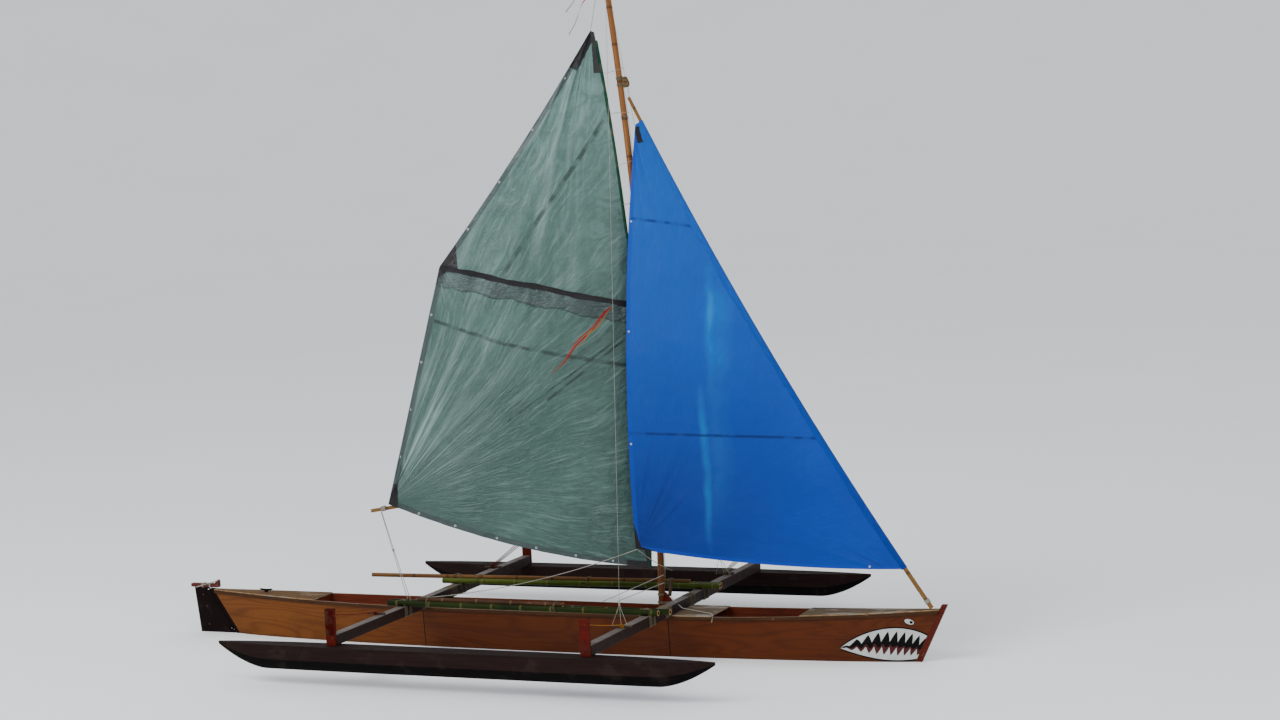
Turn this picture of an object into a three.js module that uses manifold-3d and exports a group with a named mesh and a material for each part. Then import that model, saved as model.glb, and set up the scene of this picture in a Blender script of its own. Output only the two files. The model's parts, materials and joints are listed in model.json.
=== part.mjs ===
// A double-outrigger sailing canoe: a flat-bottomed plywood hull in three lengths, two floats on two
// crossbeams, a hung rudder, and a mainsail and jib on a bent bamboo mast. Millimetres. +X is the bow,
// +Y is port and +Z is up. The origin is on the waterline, amidships on the centreline.
import * as THREE from 'three';
import Module from 'manifold-3d';
import { mergeVertices } from 'three/addons/utils/BufferGeometryUtils.js';

const wasm = await Module();
wasm.setup();

// Hull. Each end has the length of its planking along the sheer, the rake of its post, and how far its
// sheer and its bottom rise.
const BOW = { length: 3640, rake: 240, rise: 87, rocker: 90 };
const STERN = { length: 3600, rake: 280, rise: 44, rocker: 95 };
const SHEER_Z = 365;
const KEEL_Z = -125;
const FLAT_SHEER = 1250;
const HALF_BEAM = 250;
const HALF_BOTTOM = 228;
const HALF_TIP = 20;
const SECTION_JOINT = 1220;
const SIDE_PLY = 9;
const BOTTOM_PLY = 12;
const BULKHEAD_PLY = 12;
const DECK_PLY = 9;
const STATIONS = 10;
const DECK_STATION = 5;
const MAST_DECK = { from: 1262, to: 1625 };
const RAIL = { depth: 28, width: 16 };
const SEATS = { aft: -1800, mid: -120 };
const SEAT = { length: 230, top: 190, thickness: 15 };
const STEM = { depth: 50, head: 50 };
const GAP = 0.3;
// How far a flat facet of the sides falls inside the curve that it follows
const FACET = 0.65;

// Outriggers: crossbeams, floats, and the posts that stand on the floats
const BEAM_X = 1207;
const BEAM = { width: 90, height: 90, halfSpan: 1879 };
const BEAM_BOTTOM = SHEER_Z + GAP;
const BEAM_TOP = BEAM_BOTTOM + BEAM.height;
const FLOAT = { x: 5, y: 1894, length: 4702, halfWidth: 100, bottom: 147, tipDepth: 25, halfTip: 9 };
const CHINE = { height: 0.37, footWidth: 0.5 };
const POST = { width: 90, thickness: 28, height: 310 };

// Poles lashed across the beams. Each row is x at the after end, x at the forward end, y at either end,
// the radius and the height of the pole's middle over the beams.
const POLES = [
  { name: 'pole_starboard_outer', aft: -1343, fore: 1326, yAft: -640, yFore: -668, r: 27, over: 27, tint: 'green' },
  { name: 'pole_starboard_inner', aft: -1330, fore: 1411, yAft: -578, yFore: -606, r: 27, over: 27, tint: 'green' },
  { name: 'pole_starboard_top', aft: -1050, fore: 400, yAft: -612, yFore: -627, r: 21, over: 62.2, tint: 'dry' },
  { name: 'pole_port_outer', aft: -1340, fore: 1388, yAft: 480, yFore: 610, r: 27, over: 27, tint: 'green' },
  { name: 'pole_port_inner', aft: -1350, fore: 1401, yAft: 418, yFore: 548, r: 27, over: 27, tint: 'green' },
  { name: 'pole_port_top', aft: -2104, fore: 1100, yAft: 413, yFore: 565, r: 20, over: 61.8, tint: 'dry' },
];

// Rig. The swing axis of the mainsail leans aft and meets the bent mast at the height of its boom.
const RAKE = Math.atan(0.0446);
const AXIS = { x: 1136, z: 448 };
const MAST = { footX: 1050, footZ: -72, topX: 815, topZ: 6100, footR: 32.5, topR: 27, bend: 120 };
const STEP = { length: 150, width: 120, height: 40 };
const KNEE = { low: 366, lip: 455, high: 530, width: 40 };
const MAST_SEAT = 0.8;
const SHROUD = { footX: 1180, footY: 1150, topZ: 5800, radius: 4 };
const BLOCK = { low: 4988, high: 5084, width: 34, depth: 62 };
const BOOM_ANGLE = THREE.MathUtils.degToRad(20);
const BOOM = { foreX: 32.2, foreZ: 1235, aftX: 2575, aftZ: 1020, r: 17 };
const CLOTH = 4;
const BATTEN = { width: 22, thickness: 9, clear: 2.2, row: 0.5 };
const SPAR = { x: 3573, z: 466.4, length: 5126, lean: Math.atan2(0.502, 0.865), footR: 20, topR: 15, bend: 85 };
const JIB_ANGLE = THREE.MathUtils.degToRad(15.3);

// Sails, each in its own plane: x is the distance from its axis and z the distance up it. Rows run from the
// foot at 0 to the head at 1, and the mainsail's after edge turns at the row of its batten.
const MAIN = {
  tack: [138, 320], throat: [190, 5045], clew: [2410, 1070], corner: [1745, 3130], peak: [222, 5060],
  luffArch: 105, luffDrop: 42, leechHollow: 35, footRound: 75, belly: 0.06, cells: [14, 14],
};
const JIB = {
  tackZ: 410, headZ: 4890, clew: [1954, 1724], head: [70, 4890], luffSeat: 0.6,
  roach: [70, 45], footRound: 50, belly: 0.07, cells: [12, 12],
};

// Rudder: a stock on a hinge line behind the raked sternpost, with its blade bolted to the port face
const STERNPOST = { depth: 35, head: 14 };
const HINGE_BACK = 30;
const PIN = { radius: 5, low: 42, high: 400 };
const LUG = { halfWidth: 14, height: 12, bite: 2 };
const STOCK = { thickness: 24, lead: 10, frontLow: 60, frontHigh: 372, top: 435, aftTop: -3826, aftLow: [-3776, -44] };
const BLADE = { thickness: 16, outline: [[-3560, 190], [-3775, 190], [-3700, -420], [-3530, -420]] };
const TILLER = { aft: -3856, fore: -3548, height: 32, width: 46, horn: 32, hornLength: 24 };

const FINISH = {
  ply: { color: 0x8a5126, roughness: 0.38, metalness: 0 },
  inside: { color: 0x7c2f1c, roughness: 0.55, metalness: 0 },
  deck: { color: 0x9b8a72, roughness: 0.75, metalness: 0 },
  brown: { color: 0x46302a, roughness: 0.45, metalness: 0 },
  rail: { color: 0x2c1c16, roughness: 0.6, metalness: 0 },
  red: { color: 0x8c2217, roughness: 0.5, metalness: 0 },
  stem: { color: 0x4a1814, roughness: 0.5, metalness: 0 },
  bamboo: { color: 0xa06a38, roughness: 0.45, metalness: 0 },
  green: { color: 0x2f4a24, roughness: 0.5, metalness: 0 },
  dry: { color: 0xb98f6c, roughness: 0.6, metalness: 0 },
  greenCloth: { color: 0x64887a, roughness: 0.45, metalness: 0 },
  blueCloth: { color: 0x2468b4, roughness: 0.4, metalness: 0 },
  rope: { color: 0xd8d6cc, roughness: 0.8, metalness: 0 },
  wood: { color: 0xa9855a, roughness: 0.6, metalness: 0 },
};

const SIDES = [
  { name: 'port', side: 1 },
  { name: 'starboard', side: -1 },
];

const { lerp, clamp } = THREE.MathUtils;
const boat = new THREE.Group();

/** Adds one named piece with its own material to a group. */
function add(group, name, geometry, finish) {
  const mesh = new THREE.Mesh(geometry, new THREE.MeshStandardMaterial(FINISH[finish]));
  mesh.name = name;
  group.add(mesh);
}

/** Bends a divided unit box: its corner (u, v, w), each from 0 to 1, goes where `place` puts it. */
function bend(segments, place) {
  const geometry = new THREE.BoxGeometry(1, 1, 1, ...segments);
  const at = geometry.attributes.position;
  for (let i = 0; i < at.count; i += 1) {
    at.setXYZ(i, ...place(at.getX(i) + 0.5, at.getY(i) + 0.5, at.getZ(i) + 0.5));
  }
  return geometry;
}

/** A box given by its lowest and highest corners. */
function block([x0, y0, z0], [x1, y1, z1]) {
  const geometry = new THREE.BoxGeometry(x1 - x0, y1 - y0, z1 - z0);
  return geometry.translate((x0 + x1) / 2, (y0 + y1) / 2, (z0 + z1) / 2);
}

/** A board of the given thickness across the boat, from its outline in x and z. */
function board(outline, y0, y1) {
  const shape = new THREE.Shape(outline.map(([x, z]) => new THREE.Vector2(x, z)));
  const geometry = new THREE.ExtrudeGeometry(shape, { depth: y1 - y0, bevelEnabled: false });
  return geometry.rotateX(Math.PI / 2).translate(0, y1, 0);
}

/** A parabola from 0 at t = 0 to `height` at t = 0.5 and back to 0 at t = 1. */
const arch = (t, height) => 4 * height * t * (1 - t);

/** A tapered pole up +Z from z = 0, bowed towards +X by `bow` at the middle. */
function pole(length, footR, topR, { bow = 0, sides = 16, steps = 1 } = {}) {
  const geometry = new THREE.CylinderGeometry(topR, footR, length, sides, steps);
  geometry.rotateX(Math.PI / 2).translate(0, 0, length / 2);
  const at = geometry.attributes.position;
  for (let i = 0; i < at.count; i += 1) {
    at.setX(i, at.getX(i) + arch(at.getZ(i) / length, bow));
  }
  return geometry;
}

/** A straight round bar between two points. */
function bar(from, to, radius, sides = 8) {
  const start = new THREE.Vector3(...from);
  const span = new THREE.Vector3(...to).sub(start);
  const turn = new THREE.Quaternion();
  const geometry = pole(span.length(), radius, radius, { sides });
  turn.setFromUnitVectors(new THREE.Vector3(0, 0, 1), span.normalize());
  return geometry.applyQuaternion(turn).translate(...from);
}

/** Joins overlapping geometries into one body. */
function join(...geometries) {
  const solids = geometries.map((geometry) => {
    const bare = geometry.clone();
    bare.deleteAttribute('normal');
    bare.deleteAttribute('uv');
    const { attributes, index } = mergeVertices(bare, 1e-3);
    const vertProperties = new Float32Array(attributes.position.array);
    return new wasm.Manifold(new wasm.Mesh({ numProp: 3, vertProperties, triVerts: new Uint32Array(index.array) }));
  });
  const mesh = solids.reduce((whole, piece) => whole.add(piece)).getMesh();
  const joined = new THREE.BufferGeometry();
  joined.setAttribute('position', new THREE.BufferAttribute(new Float32Array(mesh.vertProperties), 3));
  joined.setIndex(Array.from(mesh.triVerts));
  return joined;
}

// Hull surfaces. x runs along the sheer, and `share` is its part of the way to the end of the planking.
const end = (x) => (x >= 0 ? BOW : STERN);
const share = (x) => Math.min(Math.abs(x) / end(x).length, 1);
const keelZ = (x) => KEEL_Z + end(x).rocker * share(x) ** 2.5;
const sheerHalf = (x) => HALF_TIP + (HALF_BEAM - HALF_TIP) * (1 - share(x) ** 2.8);
const keelHalf = (x) => HALF_TIP + (HALF_BOTTOM - HALF_TIP) * (1 - share(x) ** 2.4);

/** The height of the sheer: level between the crossbeams, then rising to each end. */
function sheerZ(x) {
  const t = clamp((Math.abs(x) - FLAT_SHEER) / (end(x).length - FLAT_SHEER), 0, 1);
  return SHEER_Z + end(x).rise * t ** 1.8;
}

/** The share of the hull's depth that z has reached: 0 at the bottom and 1 at the sheer. */
const heightShare = (x, z) => (z - keelZ(x)) / (sheerZ(x) - keelZ(x));

/** Half of the hull's outer width at height z. */
const halfAt = (x, z) => lerp(keelHalf(x), sheerHalf(x), heightShare(x, z));

/** Where a point z high stands, drawn in from x by the rake of its end. */
const raked = (x, z) => x - Math.sign(x) * end(x).rake * share(x) ** 8 * (1 - heightShare(x, z));

/** The place of a station: `STATIONS` equal steps in each of the hull's three lengths, from the stern. */
function stationX(k) {
  const ends = [-STERN.length, -SECTION_JOINT, SECTION_JOINT, BOW.length];
  const length = Math.min(Math.floor(k / STATIONS), 2);
  return lerp(ends[length], ends[length + 1], k / STATIONS - length);
}

/** One plywood side between two places along the sheer. */
function sidePanel(side, x0, x1) {
  return bend([STATIONS, 1, 3], (u, v, w) => {
    const x = lerp(x0, x1, u);
    const z = lerp(keelZ(x) + BOTTOM_PLY + 2 * GAP, sheerZ(x), w);
    const inset = side > 0 ? 1 - v : v;
    return [raked(x, z), side * (halfAt(x, z) - SIDE_PLY * inset), z];
  });
}

/** One length of the flat bottom. */
function bottomPanel(x0, x1) {
  return bend([STATIONS, 1, 1], (u, v, w) => {
    const x = lerp(x0, x1, u);
    const z = keelZ(x) + BOTTOM_PLY * w;
    return [raked(x, z), (2 * v - 1) * keelHalf(x), z];
  });
}

/** A plywood plate laid on the sheer. */
function deckPanel(x0, x1, steps) {
  return bend([steps, 1, 1], (u, v, w) => {
    const x = lerp(x0, x1, u);
    return [x, (2 * v - 1) * sheerHalf(x), sheerZ(x) + GAP + DECK_PLY * w];
  });
}

/** A plate across the inside of the hull. Its ends follow the flare of the sides. */
function crossPlate(x0, x1, z0, z1) {
  const narrow = Math.abs(x0) > Math.abs(x1) ? x0 : x1;
  return bend([1, 1, 1], (u, v, w) => {
    const z = lerp(z0, z1, w);
    const along = 2 * narrow - raked(narrow, z);
    return [lerp(x0, x1, u), (2 * v - 1) * (halfAt(along, z) - SIDE_PLY - GAP - FACET), z];
  });
}

/** A bulkhead centred on x, from the bottom panel to just under the sheer. */
function bulkhead(x) {
  const half = BULKHEAD_PLY / 2;
  const outer = x + Math.sign(x) * half;
  const inner = x - Math.sign(x) * half;
  const foot = keelZ(outer) + BOTTOM_PLY + GAP + FACET;
  return crossPlate(x - half, x + half, foot, sheerZ(inner) - GAP);
}

/** The rubbing strip along the outside of one sheer. */
function rubRail(side) {
  return bend([3 * STATIONS, 1, 1], (u, v, w) => {
    const x = stationX(3 * STATIONS * u);
    const z = sheerZ(x) - RAIL.depth * (1 - w);
    const out = GAP + FACET + RAIL.width * (side > 0 ? v : 1 - v);
    return [raked(x, z), side * (halfAt(x, z) + out), z];
  });
}

/** A plank up one end of the planking, with its head above the sheer. */
function endPost(direction, depth, head) {
  const x = direction * (direction > 0 ? BOW : STERN).length;
  return bend([1, 1, 4], (u, v, w) => {
    const z = lerp(keelZ(x), sheerZ(x) + head, w);
    const out = GAP + depth * (direction > 0 ? u : 1 - u);
    return [raked(x, z) + direction * out, (2 * v - 1) * HALF_TIP, z];
  });
}

function buildHull() {
  const sections = [
    { name: 'aft', from: -STERN.length, to: -SECTION_JOINT - GAP },
    { name: 'mid', from: -SECTION_JOINT, to: SECTION_JOINT },
    { name: 'bow', from: SECTION_JOINT + GAP, to: BOW.length },
  ];
  for (const { name: length, from, to } of sections) {
    add(boat, `hull_bottom_${length}`, bottomPanel(from, to), 'ply');
    for (const { name, side } of SIDES) {
      add(boat, `hull_side_${name}_${length}`, sidePanel(side, from, to), 'ply');
    }
  }
  const inboard = SECTION_JOINT - BULKHEAD_PLY;
  const aftEdge = stationX(DECK_STATION);
  const foreEdge = stationX(3 * STATIONS - DECK_STATION);
  add(boat, 'bulkhead_deck_aft', bulkhead(aftEdge - BULKHEAD_PLY), 'inside');
  add(boat, 'bulkhead_aft', bulkhead(-inboard), 'inside');
  add(boat, 'bulkhead_fore', bulkhead(inboard), 'inside');
  add(boat, 'bulkhead_deck_fore', bulkhead(foreEdge + BULKHEAD_PLY), 'inside');
  add(boat, 'deck_aft', deckPanel(-STERN.length, aftEdge, DECK_STATION), 'deck');
  add(boat, 'deck_mast', deckPanel(MAST_DECK.from, MAST_DECK.to, 2), 'deck');
  add(boat, 'deck_fore', deckPanel(foreEdge, BOW.length, DECK_STATION), 'deck');
  for (const [name, x] of Object.entries(SEATS)) {
    const half = SEAT.length / 2;
    add(boat, `seat_${name}`, crossPlate(x - half, x + half, SEAT.top - SEAT.thickness, SEAT.top), 'inside');
  }
  for (const { name, side } of SIDES) {
    add(boat, `rub_rail_${name}`, rubRail(side), 'rail');
  }
  add(boat, 'stem', endPost(1, STEM.depth, STEM.head), 'stem');
}

/** A float: boxy amidships, with a chine low on its sides, and both ends drawn up to a point. */
function floatBody(side) {
  return bend([28, 1, 3], (u, v, w) => {
    const t = Math.abs(2 * u - 1);
    const lift = clamp((t - 0.79) / 0.21, 0, 1) ** 1.7;
    const depth = SHEER_Z - FLOAT.bottom;
    const foot = FLOAT.bottom + (depth - FLOAT.tipDepth) * lift;
    const half = FLOAT.halfTip + (FLOAT.halfWidth - FLOAT.halfTip) * (1 - t ** 5);
    const level = [0, CHINE.height, (1 + CHINE.height) / 2, 1][Math.round(3 * w)];
    const fullness = lerp(CHINE.footWidth, 1, clamp(level / CHINE.height, 0, 1));
    const x = FLOAT.x + (u - 0.5) * FLOAT.length;
    return [x, side * FLOAT.y + (2 * v - 1) * half * fullness, lerp(foot, SHEER_Z, level)];
  });
}

function buildOutriggers() {
  const halfBeam = BEAM.width / 2;
  for (const [place, x] of [['aft', -BEAM_X], ['fore', BEAM_X]]) {
    const low = [x - halfBeam, -BEAM.halfSpan, BEAM_BOTTOM];
    add(boat, `beam_${place}`, block(low, [x + halfBeam, BEAM.halfSpan, BEAM_TOP]), 'brown');
    for (const { name, side } of SIDES) {
      const inner = side * (BEAM.halfSpan + GAP);
      const outer = inner + side * POST.thickness;
      const foot = SHEER_Z + GAP;
      const low = [x - POST.width / 2, Math.min(inner, outer), foot];
      const high = [x + POST.width / 2, Math.max(inner, outer), foot + POST.height];
      add(boat, `post_${name}_${place}`, block(low, high), 'red');
    }
  }
  for (const { name, side } of SIDES) {
    add(boat, `float_${name}`, floatBody(side), 'brown');
  }
  for (const { name, aft, fore, yAft, yFore, r, over, tint } of POLES) {
    const z = BEAM_TOP + over + GAP;
    add(boat, name, bar([aft, yAft, z], [fore, yFore, z], r, 12), tint);
  }
}

/** The front of the bent mast at height z. */
function mastFront(z) {
  const t = (z - MAST.footZ) / (MAST.topZ - MAST.footZ);
  return lerp(MAST.footX, MAST.topX, t) + arch(t, MAST.bend) + lerp(MAST.footR, MAST.topR, t);
}

function buildMast() {
  const run = MAST.footX - MAST.topX;
  const length = Math.hypot(run, MAST.topZ - MAST.footZ);
  const lean = Math.asin(run / length);
  const mast = pole(length, MAST.footR, MAST.topR, { bow: MAST.bend, sides: 20, steps: 24 });
  mast.rotateY(-lean).translate(MAST.footX, 0, MAST.footZ);
  add(boat, 'mast', mast, 'bamboo');

  const stepTop = MAST.footZ - MAST.footR * Math.sin(lean) - GAP;
  const [stepAft, stepFore] = [MAST.footX - STEP.length / 2, MAST.footX + STEP.length / 2];
  const stepFoot = keelZ(stepFore) + BOTTOM_PLY + 2 * GAP;
  const halfStep = STEP.width / 2;
  add(boat, 'mast_step', block([stepAft, -halfStep, stepFoot], [stepFore, halfStep, stepTop]), 'wood');

  const beamFace = BEAM_X - BEAM.width / 2 - GAP;
  const knee = [
    [mastFront(KNEE.low) + MAST_SEAT, KNEE.low], [beamFace, KNEE.low],
    [beamFace, KNEE.lip], [mastFront(KNEE.high) + MAST_SEAT, KNEE.high],
  ];
  add(boat, 'mast_knee', board(knee, -KNEE.width / 2, KNEE.width / 2), 'red');

  const blockFoot = mastFront(BLOCK.low) + MAST_SEAT;
  const blockHead = mastFront(BLOCK.high) + MAST_SEAT;
  const halyardBlock = [
    [blockFoot, BLOCK.low], [blockHead + BLOCK.depth, BLOCK.low],
    [blockHead + BLOCK.depth, BLOCK.high], [blockHead, BLOCK.high],
  ];
  add(boat, 'halyard_block', board(halyardBlock, -BLOCK.width / 2, BLOCK.width / 2), 'wood');

  const mastX = mastFront(SHROUD.topZ) - MAST.topR;
  for (const { name, side } of SIDES) {
    const foot = [SHROUD.footX, side * SHROUD.footY, BEAM_TOP + 4 * GAP];
    const head = [mastX, side * (MAST.topR + SHROUD.radius + MAST_SEAT), SHROUD.topZ];
    add(boat, `shroud_${name}`, bar(foot, head, SHROUD.radius), 'rope');
  }
}

/** A group whose +Z is an axis leaning aft, and whose +X points aft and `angle` towards starboard. */
function swingGroup(x, z, lean, angle) {
  const axis = new THREE.Group();
  axis.position.set(x, 0, z);
  axis.rotation.y = -lean;
  const swing = new THREE.Group();
  swing.rotation.z = Math.PI + angle;
  axis.add(swing);
  boat.add(axis);
  return swing;
}

/** The middle of a sail's cloth at column u and row w: straight rows, bellied to leeward, rounded foot. */
function sailPoint(sail, fore, after, u, w) {
  const [x0, z0] = fore(w);
  const [x1, z1] = after(w);
  const depth = sail.belly * (x1 - x0) * 4.4 * u * (1 - u) ** 1.2;
  const low = Math.max(0, 1 - 3 * w) ** 2;
  return [lerp(x0, x1, u), depth, lerp(z0, z1, u) - low * arch(u, sail.footRound)];
}

/** The sail as a closed skin. */
function cloth(sail, fore, after) {
  const [across, up] = sail.cells;
  return bend([across, 1, up], (u, v, w) => {
    const [x, y, z] = sailPoint(sail, fore, after, u, w);
    return [x, y + CLOTH * (v - 0.5), z];
  });
}

function mainLuff(w) {
  const x = lerp(MAIN.tack[0], MAIN.throat[0], w) - arch(w, MAIN.luffArch);
  return [x, lerp(MAIN.tack[1], MAIN.throat[1], w) - arch(w, MAIN.luffDrop)];
}

function mainLeech(w) {
  const upper = w > BATTEN.row;
  const t = upper ? (w - BATTEN.row) / (1 - BATTEN.row) : w / BATTEN.row;
  const [from, to] = upper ? [MAIN.corner, MAIN.peak] : [MAIN.clew, MAIN.corner];
  return [lerp(from[0], to[0], t) - (upper ? arch(t, MAIN.leechHollow) : 0), lerp(from[1], to[1], t)];
}

function buildMainsail() {
  const swing = swingGroup(AXIS.x, AXIS.z, RAKE, BOOM_ANGLE);
  add(swing, 'mainsail', cloth(MAIN, mainLuff, mainLeech), 'greenCloth');

  const batten = bend([MAIN.cells[0], 1, 1], (u, v, w) => {
    const [x, y, z] = sailPoint(MAIN, mainLuff, mainLeech, u, BATTEN.row);
    const face = y - CLOTH / 2 - BATTEN.clear;
    return [x, face - BATTEN.thickness * (1 - v), z + BATTEN.width * (w - 0.5)];
  });
  add(swing, 'main_batten', batten, 'wood');

  const boomY = -(CLOTH / 2 + GAP + BOOM.r);
  add(swing, 'sprit_boom', bar([BOOM.foreX, boomY, BOOM.foreZ], [BOOM.aftX, boomY, BOOM.aftZ], BOOM.r, 12), 'wood');
}

function jibLuff(w) {
  const z = lerp(JIB.tackZ, JIB.headZ, w);
  const t = z / SPAR.length;
  return [arch(t, SPAR.bend) + lerp(SPAR.footR, SPAR.topR, t) + JIB.luffSeat, z];
}

function jibLeech(w) {
  const x = lerp(JIB.clew[0], JIB.head[0], w) + arch(w, JIB.roach[0]);
  return [x, lerp(JIB.clew[1], JIB.head[1], w) + arch(w, JIB.roach[1])];
}

function buildJib() {
  const swing = swingGroup(SPAR.x, SPAR.z, SPAR.lean, JIB_ANGLE);
  const spar = pole(SPAR.length, SPAR.footR, SPAR.topR, { bow: SPAR.bend, sides: 14, steps: 20 });
  add(swing, 'jib_spar', spar, 'bamboo');
  add(swing, 'jib', cloth(JIB, jibLuff, jibLeech), 'blueCloth');
}

// The hinge line runs behind the after face of the raked sternpost
const sternTop = sheerZ(-STERN.length);
const sternSlope = STERN.rake / (sternTop - keelZ(-STERN.length));
const hingeTilt = Math.atan(sternSlope);
const hingeX = (z) => -STERN.length - GAP - STERNPOST.depth + sternSlope * (sternTop - z) - HINGE_BACK;

/** The sternpost with the two lugs that the rudder's pin turns between. */
function sternPost() {
  const reach = HINGE_BACK * Math.cos(hingeTilt) + LUG.bite;
  const lugs = [
    { z: PIN.low, from: -GAP - LUG.height },
    { z: PIN.high, from: GAP },
  ].map(({ z, from }) => {
    const lug = block([-LUG.halfWidth, -LUG.halfWidth, from], [reach, LUG.halfWidth, from + LUG.height]);
    return lug.rotateY(-hingeTilt).translate(hingeX(z), 0, z);
  });
  return join(endPost(-1, STERNPOST.depth, STERNPOST.head), ...lugs);
}

function buildRudder() {
  add(boat, 'sternpost', sternPost(), 'stem');

  const half = STOCK.thickness / 2;
  const front = (z) => [hingeX(z) + STOCK.lead, z];
  const outline = [
    front(STOCK.frontLow), front(STOCK.frontHigh), [hingeX(STOCK.frontHigh) - 50, STOCK.frontHigh + 15],
    [STOCK.aftTop + 88, STOCK.top], [STOCK.aftTop, STOCK.top], STOCK.aftLow,
  ];
  const pin = pole((PIN.high - PIN.low) / Math.cos(hingeTilt), PIN.radius, PIN.radius, { sides: 12 });
  pin.rotateY(-hingeTilt).translate(hingeX(PIN.low), 0, PIN.low);
  add(boat, 'rudder_stock', join(board(outline, -half, half), pin), 'rail');

  const bladeFace = half + GAP;
  add(boat, 'rudder_blade', board(BLADE.outline, bladeFace, bladeFace + BLADE.thickness), 'brown');

  const { aft, fore, height, horn, hornLength, width } = TILLER;
  const bottom = STOCK.top + GAP;
  const top = bottom + height;
  const tiller = [
    [aft, bottom], [fore, bottom], [fore, top + horn], [fore - hornLength, top + horn],
    [fore - 2 * hornLength, top], [aft, top],
  ];
  add(boat, 'tiller', board(tiller, -width / 2, width / 2), 'red');
}

buildHull();
buildOutriggers();
buildMast();
buildMainsail();
buildJib();
buildRudder();

export default boat;
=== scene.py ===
"""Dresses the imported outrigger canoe: plywood hull, floats, bamboo poles and mast, two sails and their ropes.

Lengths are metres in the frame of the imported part: +X is the bow, +Y is port, +Z is up, and the water's
surface is at z = 0.
"""
import json
import logging
import math
from collections.abc import Callable, Sequence
from dataclasses import dataclass, field
from enum import Enum
from itertools import product

import bmesh
import bpy
import numpy as np
from mathutils import Matrix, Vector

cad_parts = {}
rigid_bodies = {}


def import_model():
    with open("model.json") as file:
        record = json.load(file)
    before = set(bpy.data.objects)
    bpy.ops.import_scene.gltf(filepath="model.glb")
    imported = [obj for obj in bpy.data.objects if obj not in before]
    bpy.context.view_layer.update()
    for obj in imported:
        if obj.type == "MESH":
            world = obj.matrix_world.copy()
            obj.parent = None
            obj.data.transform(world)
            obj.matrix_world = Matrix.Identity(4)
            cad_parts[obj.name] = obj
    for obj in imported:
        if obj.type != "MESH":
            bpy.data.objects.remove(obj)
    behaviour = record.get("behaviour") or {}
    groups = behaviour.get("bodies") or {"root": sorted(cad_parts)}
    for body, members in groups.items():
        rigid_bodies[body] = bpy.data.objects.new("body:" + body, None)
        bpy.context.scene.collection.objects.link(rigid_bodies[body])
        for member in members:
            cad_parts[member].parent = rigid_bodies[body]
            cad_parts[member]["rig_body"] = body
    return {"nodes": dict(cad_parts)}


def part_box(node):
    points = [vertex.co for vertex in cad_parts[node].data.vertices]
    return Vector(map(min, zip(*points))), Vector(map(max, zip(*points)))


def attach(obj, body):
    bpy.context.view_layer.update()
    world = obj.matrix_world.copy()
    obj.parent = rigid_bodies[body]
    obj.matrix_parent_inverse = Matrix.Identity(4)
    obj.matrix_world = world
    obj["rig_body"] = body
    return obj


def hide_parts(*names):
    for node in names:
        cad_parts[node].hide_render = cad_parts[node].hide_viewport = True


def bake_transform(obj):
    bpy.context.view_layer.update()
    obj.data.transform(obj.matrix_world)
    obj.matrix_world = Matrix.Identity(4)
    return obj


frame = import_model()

Array = np.ndarray
Colour = tuple[int, int, int]
Pair = tuple[float, float]
Spot = tuple[float, float, float]

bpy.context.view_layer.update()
ORIGIN = (0.0, 0.0, 0.0)
GAP = 0.0003  # the small space between two solids, in metres
LOG = logging.getLogger("canoe")


class Body(Enum):
    """The moving bodies of the boat."""

    HULL = "hull"
    MAIN = "mainsail"
    JIB = "jib"
    RUDDER = "rudder"


class Side(Enum):
    """A side of the boat, with the sign of its y."""

    PORT = 1
    STARBOARD = -1

    @property
    def label(self) -> str:
        """The side's name in lower case."""
        return self.name.lower()


# Shapes

@dataclass
class Surface:
    """A shape being put together.

    points holds a row for each vertex. faces, pairs and slots run side by side: an array of faces with
    one number of corners, the UV pair at each corner, and the material slot of that array. marks are
    named values at the vertices, which materials read.
    """

    points: Array
    faces: list[Array]
    pairs: list[Array]
    slots: list[int]
    marks: dict[str, Array] = field(default_factory=dict)


def unit(vectors: Array) -> Array:
    """Vectors over their own length, along the last axis."""
    return vectors / np.maximum(np.linalg.norm(vectors, axis=-1, keepdims=True), 1e-12)


def mixed(start: Array, end: Array, share: Array | float) -> Array:
    """start plus share times the way to end."""
    return start + (end - start) * share


def arch(share: Array, height: float) -> Array:
    """A parabola that is 0 at share 0 and 1, and height at 0.5."""
    return 4 * height * share * (1 - share)


def bell(distance: Array, width: float) -> Array:
    """A bell curve of the distance: 1 at 0, and 1/e where the distance is width."""
    return np.exp(-((distance / width) ** 2))


def crossed(first: Array, second: Array) -> Sequence[Array]:
    """Two arrays of rows and columns: first's values down the rows, and second's across the columns."""
    return np.meshgrid(first, second, indexing="ij")


def spots(*parts: Array | float) -> Array:
    """Points from their coordinates, each an array or a number that they all share."""
    return np.stack(np.broadcast_arrays(*parts), -1)


def on_circle(turn: Array) -> Array:
    """The points of the unit circle at angles."""
    return spots(np.cos(turn), np.sin(turn))


def circle(sides: int, radius: float = 1.0) -> Array:
    """A round outline of the given number of points."""
    return radius * on_circle(np.linspace(0, 2 * math.pi, sides, endpoint=False))


def rounded(width: float, height: float, radius: float) -> Array:
    """A rectangle about the origin whose corners are arcs of the given radius.

    Args:
        width: the width, in metres.
        height: the height, in metres.
        radius: the corners' radius, in metres.

    Returns:
        The outline's points, n by 2.
    """
    quarter = radius * on_circle(np.linspace(0, math.pi / 2, 4)) + [width / 2 - radius, height / 2 - radius]
    flips = [(1, 1), (-1, 1), (-1, -1), (1, -1)]
    return np.concatenate([(quarter * flip)[:: flip[0] * flip[1]] for flip in flips])


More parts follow.
